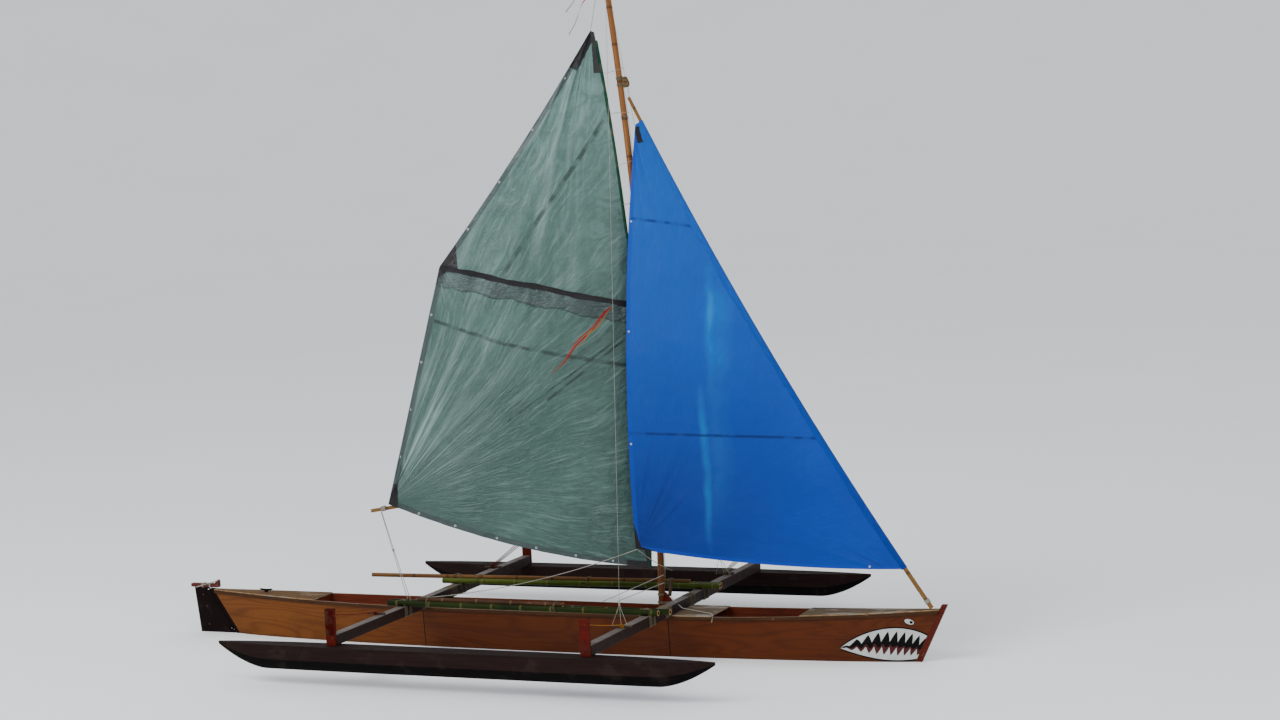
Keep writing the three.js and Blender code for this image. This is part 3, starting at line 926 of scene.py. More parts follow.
@dataclass(frozen=True)
class Tarp(Finish):
    """Woven plastic sheet with welded seams and tape. Its UV map is metres in the sail's plane.

    It reads the marks edge, the distance in metres to leech or foot; fold, the lift of the folds from 0 to 1;
    and below, the distance in metres under the batten. fans lists a corner, a number of rays, their reach,
    and their direction and spread in radians. shade is a colour of painted shade and how far it reaches from
    the centre, and weave the angle of the threads. Much of the colour is painted light: the pale colour is
    painted along the folds and rays, as a highlight on the green sheet and as shade on the blue one; the
    crinkles and a crease are darkened as painted shade; glint adds painted glints and shade; band is a painted
    shadow under the batten; top lightens the sheet towards its head; and glow adds glowing strips.
    """

    deep: Colour = (60, 96, 84)
    # pale: the colour of the painted highlights along the folds (on the blue sheet a darker colour: painted shade)
    pale: Colour = (190, 208, 200)
    hem: Colour = (84, 92, 92)
    band: Colour = (62, 68, 72)
    # top: the colour of painted light that makes the sheet lighter towards its head
    top: Colour | None = None
    rise: Pair = (1.3, 4.4)
    seams: tuple[Strip, ...] = ()
    tapes: tuple[Strip, ...] = ()
    glow: tuple[Strip, ...] = ()
    hem_width: float = 0.046
    hem_depth: float = 0.8
    # the share of painted shade on the high crinkles
    creased: float = 0.3
    glint: float = 0.0
    # the strength of the painted highlight or shade along the rays
    pull: float = 0.62
    fans: tuple[tuple[Pair, float, float, float, float], ...] = ()
    shade: tuple[Colour, float] | None = None
    weave: float = 0.0
    centre: Pair = (0.0, 0.0)
    spread: float = 26.0
    relief: float = 0.009

    def all_rays(self, graph: Graph, flat: Value) -> Value:
        """The sum of the fans of fine folds.

        Args:
            graph: the graph that it adds nodes to.
            flat: the UV map, in metres.

        Returns:
            The folds' mask.
        """
        total = 0.0
        for corner, count, reach, aim, opening in self.fans:
            total = total + rays(graph, flat, Corner=(*corner, 0.0), Rays=count, Reach=reach, Aim=aim, Open=opening)
        return graph.math("MINIMUM", total, 1.0)

    def drawn(self, graph: Graph, flat: Value, spread: float, along: float) -> Value:
        """The UV map turned into angle and distance from the sail's clew."""
        return around(graph, flat, Corner=(*self.centre, 0.0), Spread=spread, Along=along)

    def drifted(self, graph: Graph, flat: Value, scale: float, detail: float, reach: float) -> Value:
        """The UV map, shifted to and fro by a noise."""
        return graph.vectors("ADD", flat, (graph.noise(flat, scale, detail=detail) - 0.5) * reach)

    def cloth_colour(self, graph: Graph, flat: Value) -> Value:
        """The cloth's colour: cloudy and faintly threaded, with painted light: lighter towards the head, glowing
        strips, and painted shade round the clew.

        Args:
            graph: the graph that it adds nodes to.
            flat: the UV map, in metres.

        Returns:
            The colour.
        """
        wide, upright = (streaks(graph, graph.stretch(flat, (1, 1, 1), (0, 0, turn)), Length=0.5, Width=0.006)
                         for turn in (-self.weave, math.pi / 2 - self.weave))
        cloud = graph.noise(flat, 0.9, detail=3.0).remap(0.3, 0.7)
        base = graph.mix((wide + upright).remap(0.75, 1.25) * 0.22 + cloud * 0.78, self.deep, self.colour)
        if self.top:
            # painted light: the sheet is lighter towards its head
            base = graph.mix(graph.apart(flat)[1].remap(*self.rise) * 0.85, base, self.top)
        if self.glow:
            moved = self.drifted(graph, flat, 1.6, 3.0, 0.1)
            patchy = graph.noise(flat, 2.6, detail=2.0).remap(0.38, 0.62, 0.35, 1.0)
            for strip in self.glow:
                base = graph.mix(strip.mask(graph, moved, strip.width / 2) * patchy, base, (0, 128, 196))
        if self.shade:
            away = graph.vectors("DISTANCE", flat, (*self.centre, 0.0), output="Value")
            base = graph.mix(away.remap(self.shade[1], 0.0, 0.0, 0.9), base, self.shade[0])
        return base

    def dress(self, graph: Graph) -> None:
        """Colour from the cloth, hem, seams and tapes, with a crinkled gloss and painted light: shade in the crinkles,
        glints, a shadow under the batten, and highlights or shade along the folds.

        Args:
            graph: the graph that it adds nodes to.
        """
        flat = graph.place("UV")
        ray = self.all_rays(graph, flat)
        coarse, close = (crinkles(graph, self.drawn(graph, flat, self.spread * size, 5.0 * size), Scale=1.0)
                         for size in (1.0, 2.6))
        crease = coarse * 0.7 + close * 0.3
        # dark: the deep colour darkened, for painted shade and for the seams
        dark = darker(self.deep, 0.6)
        # painted shade: the cloth is darkened where the crinkles are high
        base = graph.mix(crease.remap(0.55, 0.95, 0.0, self.creased), self.cloth_colour(graph, flat), dark)
        if self.glint:
            # painted glints and painted shade: fine streaks out from the clew, dark where the noise is low and pale
            # where it is high
            pull = graph.noise(self.drawn(graph, flat, 84.0, 2.2), 1.0, detail=4.0, roughness=0.6)
            base = graph.mix(pull.remap(0.48, 0.3, 0.0, self.glint), base, dark)
            base = graph.mix(pull.remap(0.53, 0.76, 0.0, self.glint * 1.5), base, self.pale)
        # painted shadow: a grey band under the batten, broken by wrinkles, with a darker line along its lower edge
        below = graph.mark("below") + (graph.noise(flat, 5.0, detail=3.0) - 0.5) * 0.12
        wrinkle = crinkles(graph, graph.stretch(flat, (1, 2.4, 1), (0, 0, 0.5)), Scale=9.0)
        band = below.remap(0.0, 0.01) * below.remap(0.165, 0.158)
        base = graph.mix(band * wrinkle.remap(0.6, 1.0, 0.45, 0.85), base, self.band)
        base = graph.mix(below.remap(0.15, 0.158) * below.remap(0.176, 0.168) * 0.5, base, dark)
        # painted light: the folds and the rays from the corners are painted in the pale colour, a painted highlight on
        # the green sheet and painted shade on the blue one
        painted_fold_light = ray.math("POWER", 1.4) * self.pull + graph.mark("fold") * 0.16
        base = graph.mix(painted_fold_light.math("MINIMUM", 0.8), base, self.pale)
        hem = graph.mark("edge").remap(self.hem_width + 0.004, self.hem_width - 0.004, 0.0, self.hem_depth)
        base = graph.mix(hem, base, self.hem)
        dashes = graph.noise(flat, 9.0, detail=1.0).remap(0.42, 0.56, 0.35, 1.0)
        # the seams, and on the mainsail also painted shade along a crease
        for seam in self.seams:
            base = graph.mix(seam.mask(graph, flat, 0.008) * dashes, base, dark)
        ragged, taped = self.drifted(graph, flat, 24.0, 2.0, 0.014), 0.0
        for tape in self.tapes:
            taped = graph.math("MAXIMUM", taped, tape.mask(graph, ragged))
        graph.out("Base Color", graph.mix(taped, base, (22, 20, 24)))
        fine = crinkles(graph, flat, Scale=30.0)
        graph.bump(crease + fine * 0.12 + ray * 1.4 + band * wrinkle * 1.5, self.relief, 0.75)
        graph.out("Roughness", crease.remap(0.3, 1.0, self.roughness, self.roughness + 0.12))


@dataclass(frozen=True)
class Cord(Finish):
    """Rope or string. u runs round it and v is metres."""

    pitch: float = 0.03

    def dress(self, graph: Graph) -> None:
        """Colour and bump from the strands, with painted shade in the grooves between them, and dirt.

        Args:
            graph: the graph that it adds nodes to.
        """
        strand = strands(graph, graph.place("UV"), Pitch=self.pitch)
        # painted shade: the grooves between the strands are darkened to half the colour
        base = graph.mix(strand, darker(self.colour, 0.5), self.colour)
        dirt = graph.noise(graph.place(), 14.0, detail=4.0).remap(0.45, 0.75, 0.0, 0.5)
        graph.out("Base Color", graph.mix(dirt, base, (96, 84, 68)))
        graph.bump(strand, 0.0012, 0.8)


@dataclass(frozen=True)
class Metal(Finish):
    """Dull metal with spots of rust."""

    def dress(self, graph: Graph) -> None:
        """Colour and roughness from the rust.

        Args:
            graph: the graph that it adds nodes to.
        """
        rust = blotches(graph, graph.place(), Scale=60.0, Amount=0.5)
        graph.out("Base Color", graph.mix(rust, self.colour, (94, 52, 30)))
        graph.out("Roughness", rust.remap(0.0, 1.0, self.roughness, 0.85))
        graph.out("Metallic", rust.remap(0.0, 1.0, 0.9, 0.1))


PLY = Varnish("varnished plywood", (102, 56, 10), 0.45, 0.12, forward=(78, 33, 2))
INSIDE = Paint("red-brown inside paint", (106, 44, 26), 0.65, 0.12, wear=0.12, worn=(140, 96, 66))
DECK = Timber("weathered deck plywood", (98, 82, 63), 0.9, 0.1, dark=(58, 46, 34), silver=(142, 136, 126),
              weather=0.5)
AFT_DECK = Timber("stained after deck", (104, 78, 50), 0.85, 0.1, dark=(56, 38, 24), silver=(122, 106, 86),
                  weather=0.35)
EDGE = Timber("pale plywood edge", (170, 140, 100), 0.8, dark=(96, 70, 46), weather=0.5)
BROWN = Paint("dark brown paint", (38, 23, 19), 0.6, 0.12, worn=(112, 104, 98), wear=0.1, bleach=0.75)
FLOAT_PAINT = Paint("brown float paint", (34, 21, 19), 0.7, 0.06, worn=(84, 68, 60), wear=0.03)
BOTTOM_PAINT = Paint("black bottom paint", (11, 9, 9), 0.8, 0.05, worn=(26, 22, 20), wear=0.05)
RAIL = Paint("dark brown rail paint", (66, 40, 20), 0.75, 0.12, worn=(96, 72, 48), wear=0.2)
RED = Paint("red plank paint", (82, 13, 4), 0.65, 0.1, worn=(50, 16, 9), wear=0.2)
STEM = Paint("dark red stem paint", (84, 24, 12), 0.6, 0.12, worn=(168, 156, 142), wear=0.16)
RUDDER_PAINT = Paint("dark rudder paint", (18, 8, 7), 0.75, 0.06, worn=(52, 30, 24), wear=0.08)
TILLER_PAINT = Paint("red-brown tiller paint", (84, 25, 14), 0.6, worn=(128, 92, 74), wear=0.2)
MAST_CANE = Cane("old orange bamboo", (142, 94, 50), 0.5, 0.12, second=(112, 60, 28), ring=(70, 38, 20), peel=0.04,
                 foot=(0.5, 1.7))
SPAR_CANE = Cane("thin yellow bamboo", (136, 98, 52), 0.6, 0.1, second=(92, 62, 34), ring=(70, 48, 28), peel=0.05)
GREEN_CANE = Cane("green bamboo", (68, 84, 22), 0.5, 0.08, second=(100, 106, 38), ring=(98, 98, 50), peel=0.16)
DARK_CANE = Cane("dark green bamboo", (22, 34, 8), 0.55, 0.06, second=(44, 54, 14), ring=(84, 78, 40), peel=0.15)
DRY_CANE = Cane("dry bamboo", (124, 86, 48), 0.65, 0.1, second=(92, 54, 30), ring=(64, 44, 24), peel=0.2)
BROWN_CANE = Cane("brown split bamboo", (60, 38, 24), 0.7, 0.1, second=(84, 56, 38), ring=(104, 80, 58), peel=0.3)
CUT_CANE = Timber("cut end of bamboo", (190, 156, 100), 0.8, dark=(130, 98, 58), weather=0.1)
# painted shade: the near-black colour of the short cups inside the poles' cut ends
HOLLOW_SHADE = Finish("hollow of bamboo", (26, 20, 14), 0.9)
WOOD = Timber("bare timber", (142, 108, 68), 0.7, weather=0.3)
STICK = Timber("dark stick", (66, 44, 28), 0.75, dark=(36, 24, 18), weather=0.2)
# The sheets' colours hold painted light: highlights or shade along the folds, shade in the crinkles and under the
# batten, glints, glow and a lighter head.
GREEN_TARP = Tarp(
    "grey-green plastic sheet", (75, 104, 97), 0.32, gloss=0.4, deep=(42, 72, 64), pale=(154, 180, 177),
    top=(88, 121, 115), rise=(2.8, 4.8), hem=(50, 60, 62), band=(46, 52, 56), glint=0.17, pull=0.85,
    centre=(2.43, 1.06),
    seams=(Strip((0.176, 4.279), (0.46, 3.92), 0.046, 0.8), Strip((0.46, 3.92), (0.767, 3.545), 0.046, 0.8),
           Strip((0.767, 3.545), (1.202, 2.993), 0.046, 0.7), Strip((0.133, 2.112), (0.843, 2.3), 0.04, 0.85),
           Strip((0.843, 2.3), (1.249, 2.417), 0.04, 0.8), Strip((1.249, 2.417), (1.84, 2.665), 0.04, 0.75),
           # the strips from here to the end of this list are painted shade along a crease, not seams
           Strip((0.102, 2.445), (0.686, 2.079), 0.026, 1.0), Strip((0.686, 2.079), (1.263, 1.728), 0.02, 1.0),
           Strip((0.1, 2.4), (0.9, 1.88), 0.03, 0.9), Strip((0.12, 2.56), (0.7, 2.17), 0.06, 0.45)),
    tapes=(Strip((0.2, 5.08), (0.41, 4.75), 0.1), Strip((0.185, 5.06), (0.198, 4.69), 0.062),
           Strip((1.652, 3.1), (1.652, 3.42), 0.145), Strip((1.6, 3.19), (1.77, 3.06), 0.07),
           Strip((1.742, 3.13), (1.79, 2.98), 0.026), Strip((2.362, 1.25), (2.375, 1.02), 0.11),
           Strip((0.132, 0.3), (0.15, 0.5), 0.05), Strip((0.12, 0.335), (0.34, 0.375), 0.07)),
    fans=(((2.43, 1.06), 17.0, 2.1, 2.0, 0.42), ((2.43, 1.06), 40.0, 1.3, 2.35, 0.6),
          ((0.22, 5.2), 15.0, 2.1, -1.18, 0.5), ((1.78, 3.2), 13.0, 0.35, -1.9, 0.6)))
BLUE_TARP = Tarp(
    "blue plastic sheet", (2, 59, 155), 0.45, gloss=0.16, deep=(0, 46, 132), pale=(0, 14, 56), hem=(8, 52, 156),
    band=(10, 50, 130), top=(8, 80, 160), hem_width=0.03, hem_depth=0.55, creased=0.08, pull=0.8,
    centre=(1.97, 1.72), shade=((0, 32, 104), 1.9), weave=0.563, spread=46.0, relief=0.0015,
    seams=(Strip((0.09, 3.862), (0.52, 4.21), 0.032, 0.7), Strip((0.1, 1.737), (1.5, 2.62), 0.032, 0.75)),
    tapes=(Strip((0.07, 4.87), (0.112, 4.73), 0.05), Strip((1.88, 1.93), (1.93, 1.7), 0.05),
           Strip((1.95, 1.745), (1.62, 1.385), 0.034)),
    glow=(Strip((0.1, 3.55), (0.72, 2.5), 0.09, 0.7, 0.5), Strip((0.72, 2.68), (1.4, 1.32), 0.08, 0.8, 0.4),
          Strip((0.05, 3.5), (0.75, 2.3), 0.3, 0.3, 0.5), Strip((0.6, 2.6), (1.3, 1.4), 0.34, 0.22, 0.5)),
    fans=(((1.99, 1.7), 14.0, 0.75, 2.6, 1.1), ((0.06, 4.98), 20.0, 0.5, -1.2, 0.6),
          ((0.05, 0.3), 18.0, 0.6, 0.9, 0.7)))
SLEEVE_TARP = Tarp("doubled blue plastic sheet", (2, 62, 158), 0.5, gloss=0.15, deep=(0, 46, 130), pale=(10, 76, 154),
                   top=(8, 82, 166), hem_depth=0.0, creased=0.2)
TAPE = Paint("black cloth tape", (20, 18, 22), 0.5, worn=(56, 52, 56), wear=0.1)
LUFF_CORD = Cord("dark green luff rope", (14, 66, 44), 0.7, 0.1, pitch=0.05)
WHITE_CORD = Cord("white line", (178, 174, 162), 0.85, 0.1, pitch=0.02)
BLOCK_WOOD = Timber("grey-brown block wood", (104, 84, 58), 0.8, 0.1, dark=(58, 44, 30), weather=0.3)
STRING = Cord("weathered lashing string", (122, 112, 92), 0.85, 0.1, pitch=0.008)
RED_CORD = Cord("red cord", (116, 20, 12), 0.8, 0.06, pitch=0.012)
DARK_RED_CORD = Cord("dark red cord", (74, 13, 7), 0.85, 0.05, pitch=0.02)
YELLOW_CORD = Cord("yellow cord", (176, 112, 14), 0.75, 0.1, pitch=0.012)
RIBBON = Finish("red streamer", (156, 26, 8), 0.6, 0.1)
PALE_RIBBON = Finish("yellow streamer", (158, 98, 20), 0.6, 0.1)
BOLT = Metal("rusty bolt", (50, 36, 30), 0.6)
GROMMET = Finish("white grommet", (206, 208, 206), 0.5)
BLACK = Finish("black paint figure", (6, 6, 6), 0.7, 0.1)
WHITE = Finish("white paint figure", (196, 198, 196), 0.55)
DEEP_RED = Finish("dark red paint figure", (70, 8, 10), 0.55)


# Pieces

def shown(name: str, data: bpy.types.ID) -> bpy.types.Object:
    """A new object in the scene.

    Args:
        name: the object's name.
        data: its mesh, lamp or camera.

    Returns:
        The object.
    """
    made = bpy.data.objects.new(name, data)
    bpy.context.scene.collection.objects.link(made)
    return made


def build(name: str, surface: Surface, finishes: Finish | Sequence[Finish], replaces: str = "",
          body: Body = Body.HULL, crease: float = 35.0) -> bpy.types.Object:
    """Makes a piece of a closed surface and hangs it on its body.

    Args:
        name: the piece's name.
        surface: its shape.
        finishes: its finish, or one for each of its slots.
        replaces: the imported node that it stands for, if there is one.
        body: the body that it moves with.
        crease: the angle in degrees past which an edge looks sharp.

    Returns:
        The piece.
    """
    mesh = bpy.data.meshes.new(name)
    mesh.from_pydata(surface.points.tolist(), [], [row for faces in surface.faces for row in faces.tolist()])
    flat = np.concatenate([pairs.reshape(-1) for pairs in surface.pairs])
    mesh.uv_layers.new(name="UVMap").data.foreach_set("uv", flat.astype(np.float32))
    counts = [len(faces) for faces in surface.faces]
    mesh.polygons.foreach_set("material_index", np.repeat(surface.slots, counts).astype(np.int32))
    for key, values in surface.marks.items():
        mesh.attributes.new(key, "FLOAT", "POINT").data.foreach_set("value", values.astype(np.float32))
    shell = bmesh.new()
    shell.from_mesh(mesh)
    bmesh.ops.remove_doubles(shell, verts=shell.verts, dist=1e-6)
    bmesh.ops.recalc_face_normals(shell, faces=shell.faces)
    shell.to_mesh(mesh)
    shell.free()
    mesh.shade_smooth()
    mesh.set_sharp_from_angle(angle=math.radians(crease))
    for finish in [finishes] if isinstance(finishes, Finish) else finishes:
        mesh.materials.append(finish.material())
    piece = shown(name, mesh)
    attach(piece, body.value)
    if replaces:
        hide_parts(replaces)
    LOG.info("%s: %d faces on %s", name, len(mesh.polygons), body.value)
    return piece


def dress_node(name: str, finish: Finish, edge: float = 0.0) -> None:
    """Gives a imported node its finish, and rounds its edges if edge, in metres, isn't 0.

    Args:
        name: the node's name.
        finish: its finish.
        edge: the width of the rounding.
    """
    node = frame["nodes"][name]
    for place in node.material_slots:
        place.material = finish.material()
    if edge:
        node.modifiers.new("merge", "WELD").merge_threshold = 1e-5
        bevel = node.modifiers.new("edges", "BEVEL")
        bevel.width, bevel.segments, bevel.limit_method = edge, 2, "ANGLE"
        bevel.angle_limit = math.radians(32)
    LOG.info("%s: dressed in %s", name, finish.name)


def crossing(name: str, surface: Surface, other: Body) -> None:
    """A taut line from the hull at low to another body at high, built in place and left on no body.

    Args:
        name: the object's name.
        surface: its shape.
        other: the body at its other end; not used.
    """
    piece = build(name, surface, WHITE_CORD)
    piece.parent = None
    del piece["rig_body"]
    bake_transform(piece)


@dataclass(frozen=True)
class Lines:
    """The hull's lines, as functions of x along the sheer."""

    bow: float = 3.64
    stern: float = 3.6
    bow_rake: float = 0.24
    stern_rake: float = 0.28
    bow_rise: float = 0.087
    stern_rise: float = 0.044
    bow_rocker: float = 0.09
    stern_rocker: float = 0.095
    sheer: float = 0.365
    keel: float = -0.125
    flat: float = 1.25
    half_beam: float = 0.25
    half_bottom: float = 0.228
    half_tip: float = 0.02

    def length(self, x: Array) -> Array:
        """The length of the end that x is in."""
        return np.where(x >= 0, self.bow, self.stern)

    def share(self, x: Array) -> Array:
        """The part of the way from amidships to the end."""
        return np.minimum(np.abs(x) / self.length(x), 1)

    def keel_z(self, x: Array) -> Array:
        """The height of the bottom: the keel plus the rocker times the share to the power 2.5."""
        return self.keel + np.where(x >= 0, self.bow_rocker, self.stern_rocker) * self.share(x) ** 2.5

    def sheer_z(self, x: Array) -> Array:
        """The height of the sheer: level amidships, then the rise times a share to the power 1.8."""
        share = np.clip((np.abs(x) - self.flat) / (self.length(x) - self.flat), 0, 1)
        return self.sheer + np.where(x >= 0, self.bow_rise, self.stern_rise) * share ** 1.8

    def sheer_half(self, x: Array) -> Array:
        """Half the width at the sheer."""
        return self.half_tip + (self.half_beam - self.half_tip) * (1 - self.share(x) ** 2.8)

    def keel_half(self, x: Array) -> Array:
        """Half the width at the bottom."""
        return self.half_tip + (self.half_bottom - self.half_tip) * (1 - self.share(x) ** 2.4)

    def height_share(self, x: Array, z: Array) -> Array:
        """0 at the bottom and 1 at the sheer."""
        return (z - self.keel_z(x)) / (self.sheer_z(x) - self.keel_z(x))

    def half(self, x: Array, z: Array) -> Array:
        """Half the width at height z."""
        return mixed(self.keel_half(x), self.sheer_half(x), self.height_share(x, z))

    def raked(self, x: Array, z: Array) -> Array:
        """The real x of a point of the side, drawn in by the rake times the share to the power 8."""
        rake = np.where(x >= 0, self.bow_rake, self.stern_rake)
        return x - np.sign(x) * rake * self.share(x) ** 8 * (1 - self.height_share(x, z))

    def skin(self, x: Array, z: Array, side: Side, lift: float) -> Array:
        """Points of the side at real x and z, lift outside it. It solves raked(s, z) = x by repetition.

        Args:
            x: x of the points.
            z: their heights.
            side: the side of the boat.
            lift: how far it stands off the surface, in metres.

        Returns:
            The points.
        """
        along = np.array(x, float)
        for _ in range(40):
            along = along + (x - self.raked(along, z)) * 0.6
        return spots(x, side.value * (self.half(along, z) + lift), z)

    def coat(self, x: Array, z: Array, side: Side, lift: float, foot: float = 0.0002) -> Surface:
        """A thin plate on the side at real x and z, from foot to lift outside it."""
        return slab(self.skin(x, z, side, lift), self.skin(x, z, side, foot), spots(x, z))


LINES = Lines()


@dataclass
class Hull:
    """The plywood hull: sides, bottom, decks, rails, butt seams and screws."""

    joint: float = 1.22
    side_ply: float = 0.009
    bottom_ply: float = 0.012
    deck_ply: float = 0.009
    crown: float = 0.004
    rail_clear: float = 0.0009
    rail_depth: float = 0.028
    rail_width: float = 0.016
    screw_step: float = 0.152
    deck_ends: Pair = (-2.41, 2.43)
    mast_deck: Pair = (1.262, 1.625)

    def side(self, side: Side, start: float, end: float) -> Surface:
        """One side of one length: its outer face is the lines, its inner face a ply's thickness inside.

        Args:
            side: the side of the boat.
            start: x of the after end.
            end: x of the fore end.

        Returns:
            The plate.
        """
        x, share = crossed(np.linspace(start, end, 64), np.linspace(0, 1, 13))
        z = mixed(LINES.keel_z(x) + self.bottom_ply + 2 * GAP, LINES.sheer_z(x), share)
        outer = spots(LINES.raked(x, z), side.value * LINES.half(x, z), z)
        return slab(outer, outer - [0, side.value * self.side_ply, 0], spots(x, z), (0, 1, 2))

    def bottom(self, start: float, end: float) -> Surface:
        """One length of the flat bottom.

        Args:
            start: x of the after end.
            end: x of the fore end.

        Returns:
            The plate.
        """
        x, across = crossed(np.linspace(start, end, 64), np.linspace(-1, 1, 9))
        y, low = across * LINES.keel_half(x), LINES.keel_z(x)
        outer, inner = (spots(LINES.raked(x, z), y, z) for z in (low, low + self.bottom_ply))
        return slab(outer, inner, spots(x, y), (0, 1, 0))

    def deck(self, start: float, end: float) -> Surface:
        """A plate on the sheer, its outline the sheer's own, its middle crowned by a little.

        Args:
            start: x of the after end.
            end: x of the fore end.

        Returns:
            The plate.
        """
        x, across = crossed(np.linspace(start, end, 48), np.linspace(-1, 1, 17))
        y, low = across * LINES.sheer_half(x), LINES.sheer_z(x) + GAP
        top = low + self.deck_ply + self.crown * (1 - across ** 2)
        return slab(spots(x, y, top), spots(x, y, low), spots(x, y), (0, 0, 1))

    def rail_line(self, x: Array, side: Side, out: float) -> tuple[Array, Array]:
        """y and z halfway down the rail, out from its inner face."""
        z = LINES.sheer_z(x) - self.rail_depth / 2
        return side.value * (LINES.half(x, z) + self.rail_clear + out), z

    def rail(self, side: Side) -> Surface:
        """The rubbing strip: a rounded bar carried along the outside of the sheer.

        Args:
            side: the side of the boat.

        Returns:
            The bar.
        """
        x = np.linspace(-LINES.stern, LINES.bow, 200)
        y, z = self.rail_line(x, side, self.rail_width / 2)
        return sweep(spots(LINES.raked(x, z), y, z), rounded(self.rail_width, self.rail_depth, 0.005))

    def seams(self) -> Surface:
        """The dark filled butts between the lengths: narrow strips on both sides.

        Returns:
            The strips as one surface.
        """
        strips = []
        for side, joint in product(Side, (-self.joint, self.joint)):
            x, share = crossed(np.linspace(joint - 0.0035, joint + 0.0035, 3), np.linspace(0.01, 0.94, 24))
            strips.append(LINES.coat(x, mixed(LINES.keel_z(x), LINES.sheer_z(x), share), side, 0.0007, -0.003))
        return joined(strips)

    def screws(self) -> Surface:
        """Screw heads along the rails and beside the butts.

        Returns:
            The heads as one surface.
        """
        x = np.arange(-3.45, 3.5, self.screw_step)
        rows = np.array([joint + off for joint in (-self.joint, self.joint) for off in (-0.03, 0.03)])
        beside, height = crossed(rows, np.linspace(-0.04, 0.3, 5))
        found = []
        for side in Side:
            rail = spots(x, *self.rail_line(x, side, self.rail_width))
            butt = LINES.skin(beside.ravel(), height.ravel(), side, 0.0)
            found.append(scatter(button(0.0055, 0.0016, 8), np.concatenate([rail, butt]), (0, side.value, 0)))
        return joined(found)

    def make(self) -> None:
        """Builds every piece of the hull."""
        for name, start, end in (("aft", -LINES.stern, -self.joint - GAP), ("mid", -self.joint, self.joint),
                                 ("bow", self.joint + GAP, LINES.bow)):
            build(f"hull_bottom_{name}_ply", self.bottom(start, end), [PLY, INSIDE], f"hull_bottom_{name}")
            for side in Side:
                build(f"planking_{side.label}_{name}", self.side(side, start, end), [PLY, INSIDE, EDGE],
                      f"hull_side_{side.label}_{name}")
        for side in Side:
            build(f"rail_{side.label}", self.rail(side), RAIL, f"rub_rail_{side.label}")
        aft, fore = self.deck_ends
        for name, start, end, finish in (("aft", -LINES.stern, aft, AFT_DECK), ("mast", *self.mast_deck, DECK),
                                         ("fore", fore, LINES.bow, DECK)):
            build(f"deck_{name}_ply", self.deck(start, end), [finish, EDGE], f"deck_{name}")
        build("butt_seams", self.seams(), BLACK)
        build("hull_screws", self.screws(), BOLT)
        for name in ("deck_aft", "aft", "fore", "deck_fore"):
            dress_node(f"bulkhead_{name}", INSIDE)
        for name in ("aft", "mid"):
            dress_node(f"seat_{name}", INSIDE, 0.002)
        dress_node("stem", STEM, 0.004)
        dress_node("sternpost", RUDDER_PAINT, 0.003)


